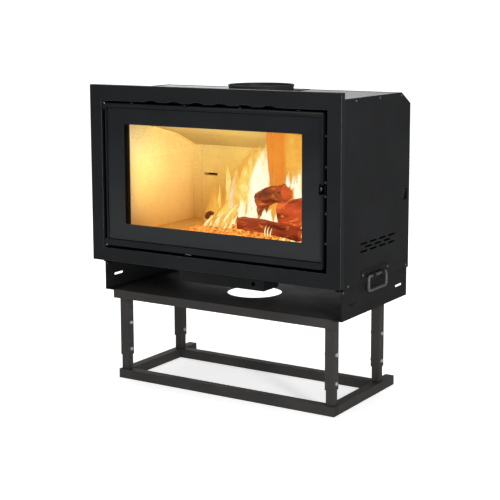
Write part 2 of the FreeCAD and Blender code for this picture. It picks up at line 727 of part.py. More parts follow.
def door_glass():
    pane = box(-GLASS_HALF, GLASS_HALF, GLASS_FRONT, GLASS_FRONT + GLASS_THICK, GLASS_BOTTOM, GLASS_TOP)
    return pane.cut(latch_notch())


def glass_seal():
    window = (WINDOW_HALF, WINDOW_BOTTOM, WINDOW_TOP)
    rear = GLASS_FRONT + GLASS_THICK
    return ring_plate(inset(window, -28), inset(window, -12), rear, rear + 4)


def door_seal():
    """The rope seal on the back of the door, pressed round the firebox mouth."""
    mouth = (MOUTH_HALF, MOUTH_BOTTOM, MOUTH_TOP)
    return ring_plate(inset(mouth, -24), inset(mouth, -12), DOOR_REAR, CASING_FRONT - 0.3)


def door_screws():
    side = [screw_x(DOOR_HALF, DOOR_SCREW_DEPTH, z, 1, 5.0) for z in DOOR_SIDE_SCREWS]
    latch = [screw_x(DOOR_HALF, LATCH_SCREW_DEPTH, z, 1, 8.0) for z in LATCH_SCREWS]
    top = [screw_z(x, DOOR_SCREW_DEPTH, DOOR_TOP, 1, 5.0) for x in DOOR_TOP_SCREWS]
    return side + [mirrored(screw) for screw in side] + latch + top


def hinge_leaf(z0, z1):
    """A barrel on the door's left edge, joined to it by a short lug."""
    barrel = rod(HINGE_BARREL_R, point(HINGE_X, HINGE_DEPTH, z0), point(HINGE_X, HINGE_DEPTH, z1))
    lug_half = 3.5
    lug = box(HINGE_X, -DOOR_HALF, HINGE_DEPTH - lug_half, HINGE_DEPTH + lug_half, z0, z1)
    bore = rod(HINGE_PIN_R + RUNNING_GAP, point(HINGE_X, HINGE_DEPTH, z0 - 1),
               point(HINGE_X, HINGE_DEPTH, z1 + 1))
    return joined([barrel, lug]).cut(bore)


def hinge_bracket(arm_z0, foot_z0, foot_z1):
    """An arm that reaches forward from the front plate to the hinge pin."""
    foot_width = 32.0
    arm = box(*HINGE_ARM_X, 0.5, CASING_FRONT, arm_z0, arm_z0 + HINGE_ARM)
    foot = box(HINGE_ARM_X[0], HINGE_ARM_X[0] + foot_width, CASING_FRONT - 3, CASING_FRONT, foot_z0, foot_z1)
    hole = rod(HINGE_PIN_R, point(HINGE_X, HINGE_DEPTH, arm_z0 - 1),
               point(HINGE_X, HINGE_DEPTH, arm_z0 + PAST))
    return joined([arm, foot]).cut(hole)


def hinge_pin(z0, z1):
    return rod(HINGE_PIN_R, point(HINGE_X, HINGE_DEPTH, z0), point(HINGE_X, HINGE_DEPTH, z1))


def hinge_washer(z0, z1):
    return tube(HINGE_BARREL_R, HINGE_PIN_R, point(HINGE_X, HINGE_DEPTH, z0), point(HINGE_X, HINGE_DEPTH, z1))


# ---- latch ----
def latch_lever():
    """A flat lever: finger end in the notch, arm through the back, tooth behind the strike."""
    outline = ((7.0, 679.0), (52.0, 679.0), (57.0, 684.0), (56.0, 694.0), (47.0, 694.0), (47.0, 687.5),
               (26.0, 687.5), (24.0, 690.0), (7.0, 690.0))
    plate = profile_x(outline, LATCH_X0, LATCH_X1)
    return plate.cut(rod(HINGE_PIN_R + RUNNING_GAP, point(LATCH_X0 - 1, LATCH_DEPTH, LATCH_Z),
                         point(LATCH_X1 + 1, LATCH_DEPTH, LATCH_Z)))


def latch_housing():
    """A U-shaped bracket inside the door's right edge that holds the latch pin."""
    depths = (DOOR_REAR - DOOR_SHEET - 13, DOOR_REAR - DOOR_SHEET)
    low, high = LATCH_Z - 28, LATCH_Z + 28
    tab = 12.0
    inner_cheek = box(LATCH_CHEEK, LATCH_CHEEK + SHEET, *depths, low, high)
    ends = [box(LATCH_CHEEK, LATCH_OUTER, *depths, z0, z0 + SHEET) for z0 in (low, high - SHEET)]
    outer_tabs = [box(LATCH_OUTER - SHEET, LATCH_OUTER, *depths, z0, z0 + tab) for z0 in (low, high - tab)]
    pin_hole = rod(HINGE_PIN_R, point(LATCH_CHEEK - PAST, LATCH_DEPTH, LATCH_Z),
                   point(LATCH_CHEEK + PAST, LATCH_DEPTH, LATCH_Z))
    shanks = holes_x([(LATCH_SCREW_DEPTH, z) for z in LATCH_SCREWS], LATCH_OUTER - 3, LATCH_OUTER + 10)
    return without(joined([inner_cheek] + ends + outer_tabs), [pin_hole] + shanks)


def latch_pin():
    return rod(HINGE_PIN_R, point(LATCH_CHEEK, LATCH_DEPTH, LATCH_Z),
               point(LATCH_OUTER - 0.1, LATCH_DEPTH, LATCH_Z))


def strike_plate():
    plate = box(369, 397, CASING_FRONT - 2.5, CASING_FRONT, LATCH_GAP_Z[0] - 16, LATCH_GAP_Z[1] + 16)
    slot = box(374, 392, CASING_FRONT - PAST, CASING_FRONT + PAST, *LATCH_GAP_Z)
    return plate.cut(slot)


# ---- drop handles for lifting ----
def lift_bracket():
    """A plate screwed to the side panel, with two lugs that hold the handle's top bar."""
    plate = box(CASING_HALF, CASING_HALF + SHEET, HANDLE_DEPTH - BRACKET_HALF, HANDLE_DEPTH + BRACKET_HALF,
                HANDLE_AXIS_Z - 4, HANDLE_AXIS_Z + 19)
    parts = [plate]
    for depth in (HANDLE_DEPTH - 34, HANDLE_DEPTH + 22):
        start = point(HANDLE_AXIS_X, depth, HANDLE_AXIS_Z)
        end = point(HANDLE_AXIS_X, depth + HANDLE_LUG, HANDLE_AXIS_Z)
        parts.append(rod(HANDLE_LUG_R, start, end))
        parts.append(box(CASING_HALF, HANDLE_AXIS_X, depth, depth + HANDLE_LUG,
                         HANDLE_AXIS_Z, HANDLE_AXIS_Z + HANDLE_LUG_R))
    bore = rod(HANDLE_ROD_R + RUNNING_GAP, point(HANDLE_AXIS_X, HANDLE_DEPTH - BRACKET_HALF, HANDLE_AXIS_Z),
               point(HANDLE_AXIS_X, HANDLE_DEPTH + BRACKET_HALF, HANDLE_AXIS_Z))
    holes = holes_x(BRACKET_SCREWS, CASING_HALF - PAST, CASING_HALF + 2 * PAST)
    return without(joined(parts), [bore] + holes)


def handle_corner(depth, z, into_depth, into_z):
    """A quarter bend at one corner of the handle, turning inwards along both directions."""
    x, bend = HANDLE_AXIS_X, HANDLE_BEND
    skew = bend * (1 - math.sqrt(0.5))
    start = point(x, depth + into_depth * bend, z)
    middle = point(x, depth + into_depth * skew, z + into_z * skew)
    end = point(x, depth, z + into_z * bend)
    return Part.Arc(start, middle, end).toShape()


def lift_handle():
    """A round rod bent into a closed loop, hanging from its top bar."""
    x, bend = HANDLE_AXIS_X, HANDLE_BEND
    near, far = HANDLE_DEPTH - HANDLE_WIDTH / 2, HANDLE_DEPTH + HANDLE_WIDTH / 2
    top, low = HANDLE_AXIS_Z, HANDLE_AXIS_Z - HANDLE_DROP
    edges = [
        handle_corner(far, top, -1, -1),
        Part.makeLine(point(x, far, top - bend), point(x, far, low + bend)),
        handle_corner(far, low, -1, 1),
        Part.makeLine(point(x, far - bend, low), point(x, near + bend, low)),
        handle_corner(near, low, 1, 1),
        Part.makeLine(point(x, near, low + bend), point(x, near, top - bend)),
        handle_corner(near, top, 1, -1),
    ]
    straight = rod(HANDLE_ROD_R, point(x, near + bend, top), point(x, far - bend, top))
    loop = Part.Wire(Part.__sortEdges__(edges))
    start = Part.Wire(Part.makeCircle(HANDLE_ROD_R, point(x, far - bend, top), FreeCAD.Vector(0, 1, 0)))
    return joined([straight, loop.makePipeShell([start], True, False)])


def main():
    os.makedirs("parts", exist_ok=True)

    save("base_crossbar_front", [base_crossbar(STAND_FRONT, STAND_HALF)])
    save("base_crossbar_rear", [base_crossbar(LEG_REAR - BAR / 2, STAND_HALF - BAR)])
    save("base_rail_right", [base_rail()])
    save("base_rail_left", [mirrored(base_rail())])
    save("base_end_plugs", base_plugs())

    bolts = []
    nuts = []
    for side_name, side in (("left", -1), ("right", 1)):
        for end_name, depth in (("front", LEG_FRONT), ("rear", LEG_REAR)):
            x = side * LEG_X
            save("lower_leg_" + end_name + "_" + side_name, [lower_leg(x, depth)])
            save("upper_leg_" + end_name + "_" + side_name, [upper_leg(x, depth)])
            bolts += [leg_bolt(x, depth, z, side) for z in LEG_BOLT_Z]
            nuts += [leg_nut(x, depth, z, side) for z in LEG_BOLT_Z]
    save("leg_bolts", bolts)
    save("leg_nuts", nuts)
    save("stand_tray", [stand_tray()])

    save("skirt_right", [skirt()])
    save("skirt_left", [mirrored(skirt())])
    save("body_floor", [body_floor()])
    save("side_panel_right", [side_panel_right()])
    save("side_panel_left", [mirrored(side_panel())])
    save("back_panel", [back_panel()])
    save("top_panel", top_panel())
    save("front_plate", [front_plate()])
    save("front_frame", [front_frame()])
    save("frame_neck", [frame_neck()])
    save("primary_air_box", [primary_air_box()])
    save("air_inlet_spigot", [air_inlet_spigot()])

    save("firebox_shell", [firebox_shell()])
    save("lining_right", [lining_side()])
    save("lining_left", [mirrored(lining_side())])
    save("lining_back", [lining_back()])
    save("hearth_slab", [hearth_slab()])
    save("fire_grate", [fire_grate()])
    save("ash_pan", [ash_pan()])
    save("baffle_boards", baffle_boards())
    save("baffle_rails", [baffle_rail(), mirrored(baffle_rail())])
    save("flue_collar", [flue_collar()])
    save("flue_flange", [flue_flange()])

    save("air_duct", [air_duct()])
    save("air_slider", [air_slider()])

    save("door_frame", [door_frame()])
    save("door_trim", [door_trim()])
    save("door_glass", [door_glass()])
    save("glass_seal", [glass_seal()])
    save("door_seal", [door_seal()])
    save("door_screws", door_screws())
    save("hinge_leaves", [hinge_leaf(884, 902), hinge_leaf(454, 472)])
    save("hinge_brackets", [hinge_bracket(905, 905, 930), hinge_bracket(447.5, 421, 451)])
    save("hinge_pins", [hinge_pin(884, 908.5), hinge_pin(447.5, 472)])
    save("hinge_washers", [hinge_washer(902.3, 905), hinge_washer(451, 453.7)])
    save("latch_lever", [latch_lever()])
    save("latch_housing", [latch_housing()])
    save("latch_pin", [latch_pin()])
    save("strike_plate", [strike_plate()])

    save("lift_bracket_right", [lift_bracket()])
    save("lift_bracket_left", [mirrored(lift_bracket())])
    save("lift_handle_right", [lift_handle()])
    save("lift_handle_left", [mirrored(lift_handle())])

    right = [screw_x(CASING_HALF, depth, z, 1, 6.0) for depth, z in PANEL_SCREWS]
    right += [screw_x(CASING_HALF + SHEET, depth, z, 1, 7.0) for depth, z in BRACKET_SCREWS]
    right += [screw_x(SKIRT_HALF, depth, z, 1, 5.0) for depth, z in SKIRT_SCREWS]
    back = [screw_y(x, z) for x, z in back_screw_places()]
    save("casing_screws", right + [mirrored(screw) for screw in right] + back)


main()
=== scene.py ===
import json
import math
import random

import bmesh
import bpy
from mathutils import Matrix, Vector, noise


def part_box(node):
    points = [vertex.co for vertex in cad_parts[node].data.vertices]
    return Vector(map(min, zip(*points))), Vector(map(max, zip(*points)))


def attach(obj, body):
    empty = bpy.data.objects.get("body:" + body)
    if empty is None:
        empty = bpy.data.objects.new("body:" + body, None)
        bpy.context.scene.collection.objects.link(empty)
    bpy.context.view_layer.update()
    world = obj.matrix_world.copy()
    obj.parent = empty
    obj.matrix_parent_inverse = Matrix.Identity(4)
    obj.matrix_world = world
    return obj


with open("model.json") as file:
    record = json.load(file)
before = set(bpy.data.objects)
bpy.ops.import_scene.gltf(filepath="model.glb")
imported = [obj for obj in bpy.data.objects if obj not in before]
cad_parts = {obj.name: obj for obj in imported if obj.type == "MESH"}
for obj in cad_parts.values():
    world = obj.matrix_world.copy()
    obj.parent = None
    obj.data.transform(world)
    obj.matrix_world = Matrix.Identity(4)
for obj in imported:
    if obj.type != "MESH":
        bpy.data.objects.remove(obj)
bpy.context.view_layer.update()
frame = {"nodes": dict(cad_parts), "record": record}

# Looks of a wood burning fireplace insert. Metres, +Z up, -Y out of the door.
nodes = frame["nodes"]
MM = 0.001

# ---- places taken from the CAD nodes ----
glass_low, glass_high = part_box("door_glass")
FACE_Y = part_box("door_trim")[0].y
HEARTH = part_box("hearth_slab")[1].z
LINING_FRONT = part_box("lining_right")[0].y
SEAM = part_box("skirt_right")[1].z


def inside(x, depth, z):
    """A place given in millimetres: across, back from the door's face, up from the floor."""
    return Vector((x * MM, FACE_Y + depth * MM, z * MM))


# ---- camera ----
CAMERA_PLACE = (2.1231, -3.34885, 1.1814)
CAMERA_YAW = 32.1
CAMERA_PITCH = -8.33
CAMERA_ROLL = -0.13
CAMERA_LENS = 91.27
CAMERA_SHIFT = (-0.0134, -0.1032)


def make_camera():
    camera = bpy.data.objects.new("camera", bpy.data.cameras.new("camera"))
    bpy.context.scene.collection.objects.link(camera)
    camera.data.sensor_width = 36.0
    camera.data.lens = CAMERA_LENS
    camera.data.shift_x, camera.data.shift_y = CAMERA_SHIFT
    camera.data.clip_end = 200.0
    turn = (
        Matrix.Rotation(math.radians(CAMERA_YAW), 4, "Z")
        @ Matrix.Rotation(math.radians(90.0 + CAMERA_PITCH), 4, "X")
        @ Matrix.Rotation(math.radians(CAMERA_ROLL), 4, "Z")
    )
    camera.matrix_world = Matrix.Translation(CAMERA_PLACE) @ turn
    bpy.context.scene.camera = camera


# ---- light and floor ----
BACKDROP_STRENGTH = 1.05
ROOM_STRENGTH = 0.17
FLOOR_REACH = 60.0
FLAME_LAYERS = 64


def lamp(name, kind, place, power, colour):
    data = bpy.data.lights.new(name, kind)
    data.energy = power
    data.color = colour
    light = bpy.data.objects.new(name, data)
    bpy.context.scene.collection.objects.link(light)
    light.location = place
    light.visible_camera = False
    return light


def area_light(name, place, target, size, power, colour=(1, 1, 1)):
    light = lamp(name, "AREA", place, power, colour)
    light.data.shape = "RECTANGLE"
    light.data.size, light.data.size_y = size
    aim = Vector(target) - Vector(place)
    light.rotation_euler = aim.to_track_quat("-Z", "Y").to_euler()
    return light


def fire_light(name, place, radius, power, colour):
    """A small warm lamp among the flames. It rises with the stove."""
    light = lamp(name, "POINT", place, power, colour)
    light.data.shadow_soft_size = radius
    light.visible_glossy = False
    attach(light, "stove")


def fire_glow(name, place, target, size, power, colour):
    """The broad even light of the fire's body on one wall of the chamber."""
    light = area_light(name, place, target, size, power, colour)
    light.visible_glossy = False
    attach(light, "stove")


def make_world():
    """A white backdrop for the eye, and a dim studio for what the surfaces mirror."""
    world = bpy.data.worlds.new("studio")
    bpy.context.scene.world = world
    world.use_nodes = True
    tree = world.node_tree
    backdrop = tree.nodes["Background"]
    backdrop.inputs["Color"].default_value = (1, 1, 1, 1)
    backdrop.inputs["Strength"].default_value = BACKDROP_STRENGTH
    room = tree.nodes.new("ShaderNodeBackground")
    room.inputs["Strength"].default_value = ROOM_STRENGTH
    seen = tree.nodes.new("ShaderNodeLightPath")
    either = tree.nodes.new("ShaderNodeMixShader")
    tree.links.new(seen.outputs["Is Camera Ray"], either.inputs[0])
    tree.links.new(room.outputs["Background"], either.inputs[1])
    tree.links.new(backdrop.outputs["Background"], either.inputs[2])
    tree.links.new(either.outputs["Shader"], tree.nodes["World Output"].inputs["Surface"])


def make_floor():
    mesh = bpy.data.meshes.new("floor")
    reach = FLOOR_REACH
    corners = [(-reach, -reach, 0), (reach, -reach, 0), (reach, reach, 0), (-reach, reach, 0)]
    mesh.from_pydata(corners, [], [(0, 1, 2, 3)])
    floor = bpy.data.objects.new("floor", mesh)
    bpy.context.scene.collection.objects.link(floor)
    floor.data.materials.append(floor_material())
    floor.visible_glossy = False


def make_studio():
    make_world()
    make_floor()
    area_light("key", (3.3, -2.1, 1.3), (0, 0, 0.6), (0.5, 2.5), 76.0)
    area_light("overhead", (-0.4, 0.4, 3.6), (0, 0, 0.3), (3.0, 3.0), 90.0)
    area_light("rear", (-2.8, 3.2, 1.9), (0, 0, 0.8), (2.0, 1.2), 9.0)
    area_light("front", (1.0, -3.4, 2.6), (0.1, 0, 0.4), (1.6, 1.2), 13.0)

    fire_light("fire_low", inside(-10, 235, 560), 0.05, 0.40, (1.0, 0.50, 0.08))
    fire_light("fire_high", inside(0, 235, 620), 0.08, 0.10, (1.0, 0.84, 0.30))
    fire_glow("glow_left", inside(240, 230, 670), inside(-340, 210, 690),
              (0.34, 0.18), 0.92, (1.0, 0.78, 0.17))
    fire_glow("glow_back", inside(-60, 120, 650), inside(-140, 400, 700),
              (0.46, 0.14), 0.60, (1.0, 0.98, 0.26))

    settings = bpy.context.scene.view_settings
    settings.view_transform = "Standard"
    settings.look = "None"
    bpy.context.scene.cycles.use_denoising = True
    bpy.context.scene.cycles.transparent_max_bounces = FLAME_LAYERS


# ---- node materials ----
class Shader:
    """A node material in the making. Texture coordinates are metres in the object's frame."""

    def __init__(self, name):
        self.material = bpy.data.materials.new(name)
        self.material.use_nodes = True
        self.tree = self.material.node_tree
        self.tree.nodes.clear()
        self.output = self.add("ShaderNodeOutputMaterial")
        self.place = self.add("ShaderNodeTexCoord").outputs["Object"]

    def add(self, kind, inputs=None, **settings):
        node = self.tree.nodes.new(kind)
        for key, value in settings.items():
            setattr(node, key, value)
        for key, value in (inputs or {}).items():
            self.feed(node.inputs[key], value)
        return node

    def feed(self, socket, value):
        if isinstance(value, bpy.types.NodeSocket):
            self.tree.links.new(value, socket)
        else:
            socket.default_value = value

    def stretched(self, scale):
        """The texture place, stretched by a factor along each axis."""
        node = self.add("ShaderNodeMapping", {"Vector": self.place, "Scale": scale})
        return node.outputs["Vector"]

    def height(self):
        return self.add("ShaderNodeSeparateXYZ", {"Vector": self.place}).outputs["Z"]

    def noise(self, scale, detail=4.0, rough=0.55, place=None, distortion=0.0):
        node = self.add("ShaderNodeTexNoise", {
            "Vector": place or self.place, "Scale": scale, "Detail": detail,
            "Roughness": rough, "Distortion": distortion,
        })
        return node.outputs["Fac"]

    def cells(self, scale, output="Color", feature="F1", place=None):
        node = self.add("ShaderNodeTexVoronoi", {"Vector": place or self.place, "Scale": scale},
                        feature=feature)
        return node.outputs[output]

    def ramp(self, value, stops, mode="LINEAR"):
        node = self.add("ShaderNodeValToRGB", {"Fac": value})
        node.color_ramp.interpolation = mode
        points = node.color_ramp.elements
        while len(points) < len(stops):
            points.new(0.5)
        for point, (place, colour) in zip(points, stops):
            point.position = place
            shade = (colour,) * 3 if isinstance(colour, (int, float)) else colour
            point.color = (*shade, 1.0)
        return node.outputs["Color"]

    def range(self, value, low, high, from_low=0.25, from_high=0.75):
        node = self.add("ShaderNodeMapRange", {
            "Value": value, "From Min": from_low, "From Max": from_high,
            "To Min": low, "To Max": high,
        })
        return node.outputs["Result"]

    def math(self, operation, first, second=0.5):
        node = self.add("ShaderNodeMath", operation=operation)
        self.feed(node.inputs[0], first)
        self.feed(node.inputs[1], second)
        return node.outputs["Value"]

    def mix(self, factor, first, second, blend="MIX"):
        node = self.add("ShaderNodeMix", data_type="RGBA", blend_type=blend)
        self.feed(node.inputs["Factor"], factor)
        for socket, value in ((node.inputs["A"], first), (node.inputs["B"], second)):
            socket = [s for s in node.inputs if s.name == socket.name and s.type == "RGBA"][0]
            self.feed(socket, value if isinstance(value, bpy.types.NodeSocket) else (*value, 1.0))
        return [s for s in node.outputs if s.type == "RGBA"][0]

    def bump(self, height, distance, strength=1.0, under=None):
        inputs = {"Height": height, "Distance": distance, "Strength": strength}
        if under is not None:
            inputs["Normal"] = under
        return self.add("ShaderNodeBump", inputs).outputs["Normal"]

    def blend(self, share, first, second):
        """Ends the material with the first shader where share is 0, and the second where it is 1."""
        both = self.add("ShaderNodeMixShader", {0: share, 1: first, 2: second})
        self.feed(self.output.inputs["Surface"], both.outputs["Shader"])
        return self.material

    def surface(self, **inputs):
        named = {key.replace("_", " "): value for key, value in inputs.items()}
        node = self.add("ShaderNodeBsdfPrincipled", named)
        self.feed(self.output.inputs["Surface"], node.outputs["BSDF"])
        return self.material


# how far under the seam the painted shadow band begins and ends, in metres
SEAM_SHADE = (0.0034, 0.0028)
EVEN = (1.0, 1.0, 1.0)


def paint(name, colour, rough, grain=1100.0, depth=0.00004, specular=0.35, seam=None):
    """Baked stove paint or powder coat: a fine even grain and slow changes in gloss.

    Where a seam height is given, the paint just under it is dark and dull: a painted shadow of the side
    panel that overhangs it.
    """
    s = Shader(name)
    slow = s.noise(5.0, 3.0)
    fine = s.noise(grain, 2.0, 0.6)
    peel = s.noise(grain / 4.0, 1.0)
    dark = tuple(0.8 * part for part in colour)
    light = tuple(1.25 * part + 0.001 for part in colour)
    mottled = s.mix(s.range(fine, 0.0, 0.5), s.ramp(slow, [(0.3, dark), (0.7, light)]), colour)
    dust = s.ramp(s.noise(38.0, 6.0, 0.7), [(0.62, 0.0), (0.8, 0.05)])
    shade = s.mix(dust, mottled, (0.25, 0.24, 0.23))
    normal = s.bump(peel, depth * 2.0, 0.6, s.bump(fine, depth, 0.8))
    # painted shadow: a dark, dull band just under the seam, where the side panel above would shade the
    # skirt
    if seam:
        height = s.height()
        painted_shadow_band = [seam - below for below in SEAM_SHADE]
        shade = s.mix(s.range(height, 0.0, 1.0, *painted_shadow_band), shade, (0.0006, 0.0006, 0.0007))
        specular = s.range(height, specular, 0.02, *painted_shadow_band)
    return s.surface(
        Base_Color=shade,
        Roughness=s.range(s.noise(16.0, 5.0, 0.6), rough - 0.05, rough + 0.07),
        Specular_IOR_Level=specular, Normal=normal,
    )


def soot_black():
    """Steel that faces the fire: dead matt, with a little ash caught on it."""
    s = Shader("soot_black")
    ash = s.noise(60.0, 6.0, 0.7)
    shade = s.ramp(ash, [(0.45, (0.0012, 0.0013, 0.0015)), (0.8, (0.004, 0.0038, 0.0036))])
    return s.surface(
        Base_Color=shade, Roughness=s.range(ash, 0.85, 0.98), Specular_IOR_Level=0.05,
        Normal=s.bump(s.noise(500.0, 4.0, 0.7), 0.0001, 0.7),
    )


def galvanised():
    """Hot-dip zinc with its spangle and faint handling marks."""
    s = Shader("galvanised_sheet")
    spangle = s.cells(110.0, "Color")
    grey = s.add("ShaderNodeSeparateColor", {"Color": spangle}).outputs["Red"]
    base = s.ramp(grey, [(0.0, (0.46, 0.47, 0.48)), (0.5, (0.50, 0.51, 0.52)), (1.0, (0.54, 0.55, 0.56))])
    smear = s.noise(9.0, 6.0, 0.65, s.stretched((1.0, 4.0, 1.0)))
    shade = s.mix(s.ramp(smear, [(0.45, 0.0), (0.8, 0.45)]), base, (0.46, 0.47, 0.49))
    return s.surface(
        Base_Color=shade, Metallic=0.75,
        Roughness=s.range(grey, 0.38, 0.47, 0.0, 1.0),
        Normal=s.bump(s.noise(420.0, 3.0), 0.00003, 0.5),
    )


def heated_steel():
    """Firebox plate, dulled and browned by heat."""
    s = Shader("firebox_steel")
    stain = s.noise(7.0, 6.0, 0.7)
    shade = s.ramp(stain, [(0.3, (0.035, 0.030, 0.028)), (0.55, (0.075, 0.052, 0.038)),
                           (0.8, (0.13, 0.10, 0.08))])
    scale = s.noise(260.0, 5.0, 0.7)
    return s.surface(
        Base_Color=shade, Metallic=0.3, Roughness=s.range(scale, 0.6, 0.85),
        Normal=s.bump(scale, 0.0001, 0.7),
    )


def vermiculite(name="refractory", smoke=0.0):
    """Pressed vermiculite board: flecks and small pits, browner and more orange low down as painted
    firelight, sooted at its front edge.
    """
    s = Shader(name)
    fleck = s.add("ShaderNodeSeparateColor", {"Color": s.cells(330.0)}).outputs["Green"]
    body = s.ramp(s.noise(7.0, 5.0, 0.6), [(0.3, (0.76, 0.60, 0.34)), (0.7, (0.86, 0.72, 0.44))])
    shade = s.mix(s.ramp(fleck, [(0.80, 0.0), (0.95, 0.4)]), body, (0.46, 0.31, 0.14))
    streak = s.noise(6.0, 4.0, 0.6, s.stretched((2.6, 2.6, 0.5)))
    shade = s.mix(s.ramp(streak, [(0.60, 0.0), (0.9, 0.22)]), shade, (0.40, 0.26, 0.11))
    spot = s.add("ShaderNodeSeparateXYZ", {"Vector": s.place})
    # painted light: a deeper orange towards the hearth, standing in for the redder glow of the fire low
    # down
    low = s.range(spot.outputs["Z"], 0.75, 0.0, HEARTH, HEARTH + 0.24)
    shade = s.mix(low, shade, (0.56, 0.27, 0.07))
    shade = s.mix(s.range(streak, smoke, 0.9 * smoke), shade, (0.10, 0.055, 0.020))
    front = s.range(spot.outputs["Y"], 0.97, 0.0, LINING_FRONT + 0.001, LINING_FRONT + 0.005)
    shade = s.mix(front, shade, (0.006, 0.006, 0.006))
    pits = s.noise(500.0, 3.0, 0.7)
    return s.surface(
        Base_Color=shade, Roughness=s.range(pits, 0.8, 0.96),
        Specular_IOR_Level=0.2, Normal=s.bump(pits, 0.0003, 0.8),
    )


def cast_iron():
    """Rough sand-cast iron with grey ash lying on it."""
    s = Shader("cast_iron")
    sand = s.noise(600.0, 4.0, 0.7)
    ash = s.ramp(s.noise(30.0, 6.0, 0.7), [(0.4, (0.035, 0.033, 0.032)), (0.75, (0.16, 0.15, 0.14))])
    return s.surface(
        Base_Color=ash, Metallic=0.4, Roughness=s.range(sand, 0.6, 0.85),
        Normal=s.bump(sand, 0.0003, 0.8),
    )


def clear_glass():
    """A clear pane that mirrors by angle and otherwise lets everything through."""
    s = Shader("ceramic_glass")
    smudge = s.noise(14.0, 5.0, 0.6)
    gloss = s.add("ShaderNodeBsdfAnisotropic", {
        "Color": (1, 1, 1, 1), "Roughness": s.range(smudge, 0.03, 0.09),
    })
    clear = s.add("ShaderNodeBsdfTransparent", {"Color": s.ramp(smudge, [(0.3, 0.97), (0.8, 0.99)])})
    angle = s.add("ShaderNodeFresnel", {"IOR": 1.18})
    leaving = s.add("ShaderNodeNewGeometry").outputs["Backfacing"]
    mirrored = s.math("MULTIPLY", angle.outputs["Fac"], s.math("SUBTRACT", 1.0, leaving))
    return s.blend(mirrored, clear.outputs["BSDF"], gloss.outputs["BSDF"])


def printed_black():
    """Black enamel fired on the back of the glass, lighter towards the bottom as a painted reflection of
    the pale floor.
    """
    s = Shader("glass_print")
    slow = s.noise(7.0, 3.0)
    # painted reflection: the print gets lighter low down, as if it mirrored the pale floor; the slow noise
    # adds its mottle
    painted_reflection_and_mottle = s.math("ADD", s.range(s.height(), 0.75, 0.0, 0.50, 0.82), s.math("MULTIPLY", slow, 0.4))
    shade = s.ramp(painted_reflection_and_mottle, [(0.1, (0.0110, 0.0125, 0.0150)), (0.9, (0.0300, 0.0312, 0.0325))])
    return s.surface(Base_Color=shade, Roughness=s.range(slow, 0.3, 0.42), Specular_IOR_Level=0.2)


def braided_rope():
    """Glass-fibre rope: crossed strands and loose fuzz."""
    s = Shader("seal_rope")
    along = s.add("ShaderNodeTexWave", {"Vector": s.place, "Scale": 60.0, "Distortion": 1.5},
                  bands_direction="DIAGONAL").outputs["Fac"]
    fuzz = s.noise(900.0, 3.0)
    shade = s.ramp(along, [(0.1, (0.10, 0.095, 0.09)), (0.9, (0.30, 0.29, 0.27))])
    return s.surface(
        Base_Color=s.mix(s.range(fuzz, 0.0, 0.35), shade, (0.4, 0.39, 0.37)),
        Roughness=s.range(fuzz, 0.85, 1.0), Sheen_Weight=0.3,
        Normal=s.bump(fuzz, 0.0002, 0.6, s.bump(along, 0.0008, 0.8)),
    )


def bright_metal(name, colour, rough, stretch=(1.0, 1.0, 30.0), metallic=1.0):
    """Turned or drawn metal with fine lines and a few stains."""
    s = Shader(name)
    lines = s.noise(140.0, 4.0, 0.6, s.stretched(stretch))
    stain = s.noise(90.0, 4.0, 0.6)
    dark = tuple(0.72 * part for part in colour)
    return s.surface(
        Base_Color=s.ramp(stain, [(0.35, dark), (0.65, colour)]), Metallic=metallic,
        Roughness=s.range(lines, rough - 0.06, rough + 0.1),
        Normal=s.bump(lines, 0.00003, 0.5),
    )


def moulded_plastic():
    """Black plastic with a fine moulded grain."""
    s = Shader("black_plastic")
    grain = s.noise(1300.0, 2.0)
    return s.surface(
        Base_Color=s.ramp(s.noise(20.0), [(0.3, (0.018, 0.018, 0.018)), (0.7, (0.03, 0.03, 0.03))]),
        Roughness=s.range(grain, 0.5, 0.66), Normal=s.bump(grain, 0.00005, 0.8),
    )


def floor_material():
    """A pale studio floor that turns pure white away from the stove."""
    s = Shader("pale_floor")
    shade = s.ramp(s.noise(0.6, 2.0), [(0.3, (0.93, 0.93, 0.93)), (0.7, (0.95, 0.95, 0.95))])
    away = s.add("ShaderNodeVectorMath", {"Vector": s.place}, operation="LENGTH").outputs["Value"]
    return s.surface(
        Base_Color=shade, Roughness=0.9, Specular_IOR_Level=0.1,
        Emission_Color=(1, 1, 1, 1), Emission_Strength=s.range(away, 0.62, 1.05, 0.7, 3.0),
    )


def charred_wood(name, bark, glow, ember=1.1):
    """Burning wood: a dark red skin with charred patches, and fire in its long cracks. The skin's even red
    glow is painted firelight; the cracks glow as embers.
    """
    s = Shader(name)
    long = s.stretched((0.22, 1.0, 1.0))
    fibre = s.noise(90.0, 6.0, 0.65, long, 0.4)
    shade = s.ramp(fibre, [(0.25, tuple(0.4 * part for part in bark)), (0.5, bark),
                           (0.8, tuple(min(1.0, 1.8 * part) for part in bark))])
    char = s.noise(34.0, 5.0, 0.6, long)
    patch = s.ramp(char, [(0.46, 0.0), (0.60, 1.0)])
    shade = s.mix(patch, shade, (0.022, 0.009, 0.006))
    crack = s.cells(62.0, "Distance", "DISTANCE_TO_EDGE", long)
    fire = s.math("MULTIPLY", s.ramp(crack, [(0.0, 0.9), (0.07, 0.0)]),
                  s.ramp(s.noise(19.0, 3.0), [(0.52, 0.0), (0.68, 1.0)]))
    # painted light: the uncharred skin emits an even red glow that stands in for the flames' light falling
    # on it
    skin = s.mix(patch, (1.0, 0.125, 0.030), (0.45, 0.035, 0.010))
    height = s.math("ADD", fibre, s.ramp(crack, [(0.0, 0.0), (0.14, 0.6)]))
    return s.surface(
        Base_Color=shade, Roughness=s.range(char, 0.7, 0.95),
        Emission_Color=s.mix(fire, skin, (1.0, 0.36, 0.06)),
        Emission_Strength=s.range(fire, glow, ember, 0.0, 1.0),
        Normal=s.bump(height, 0.002, 0.8),
    )


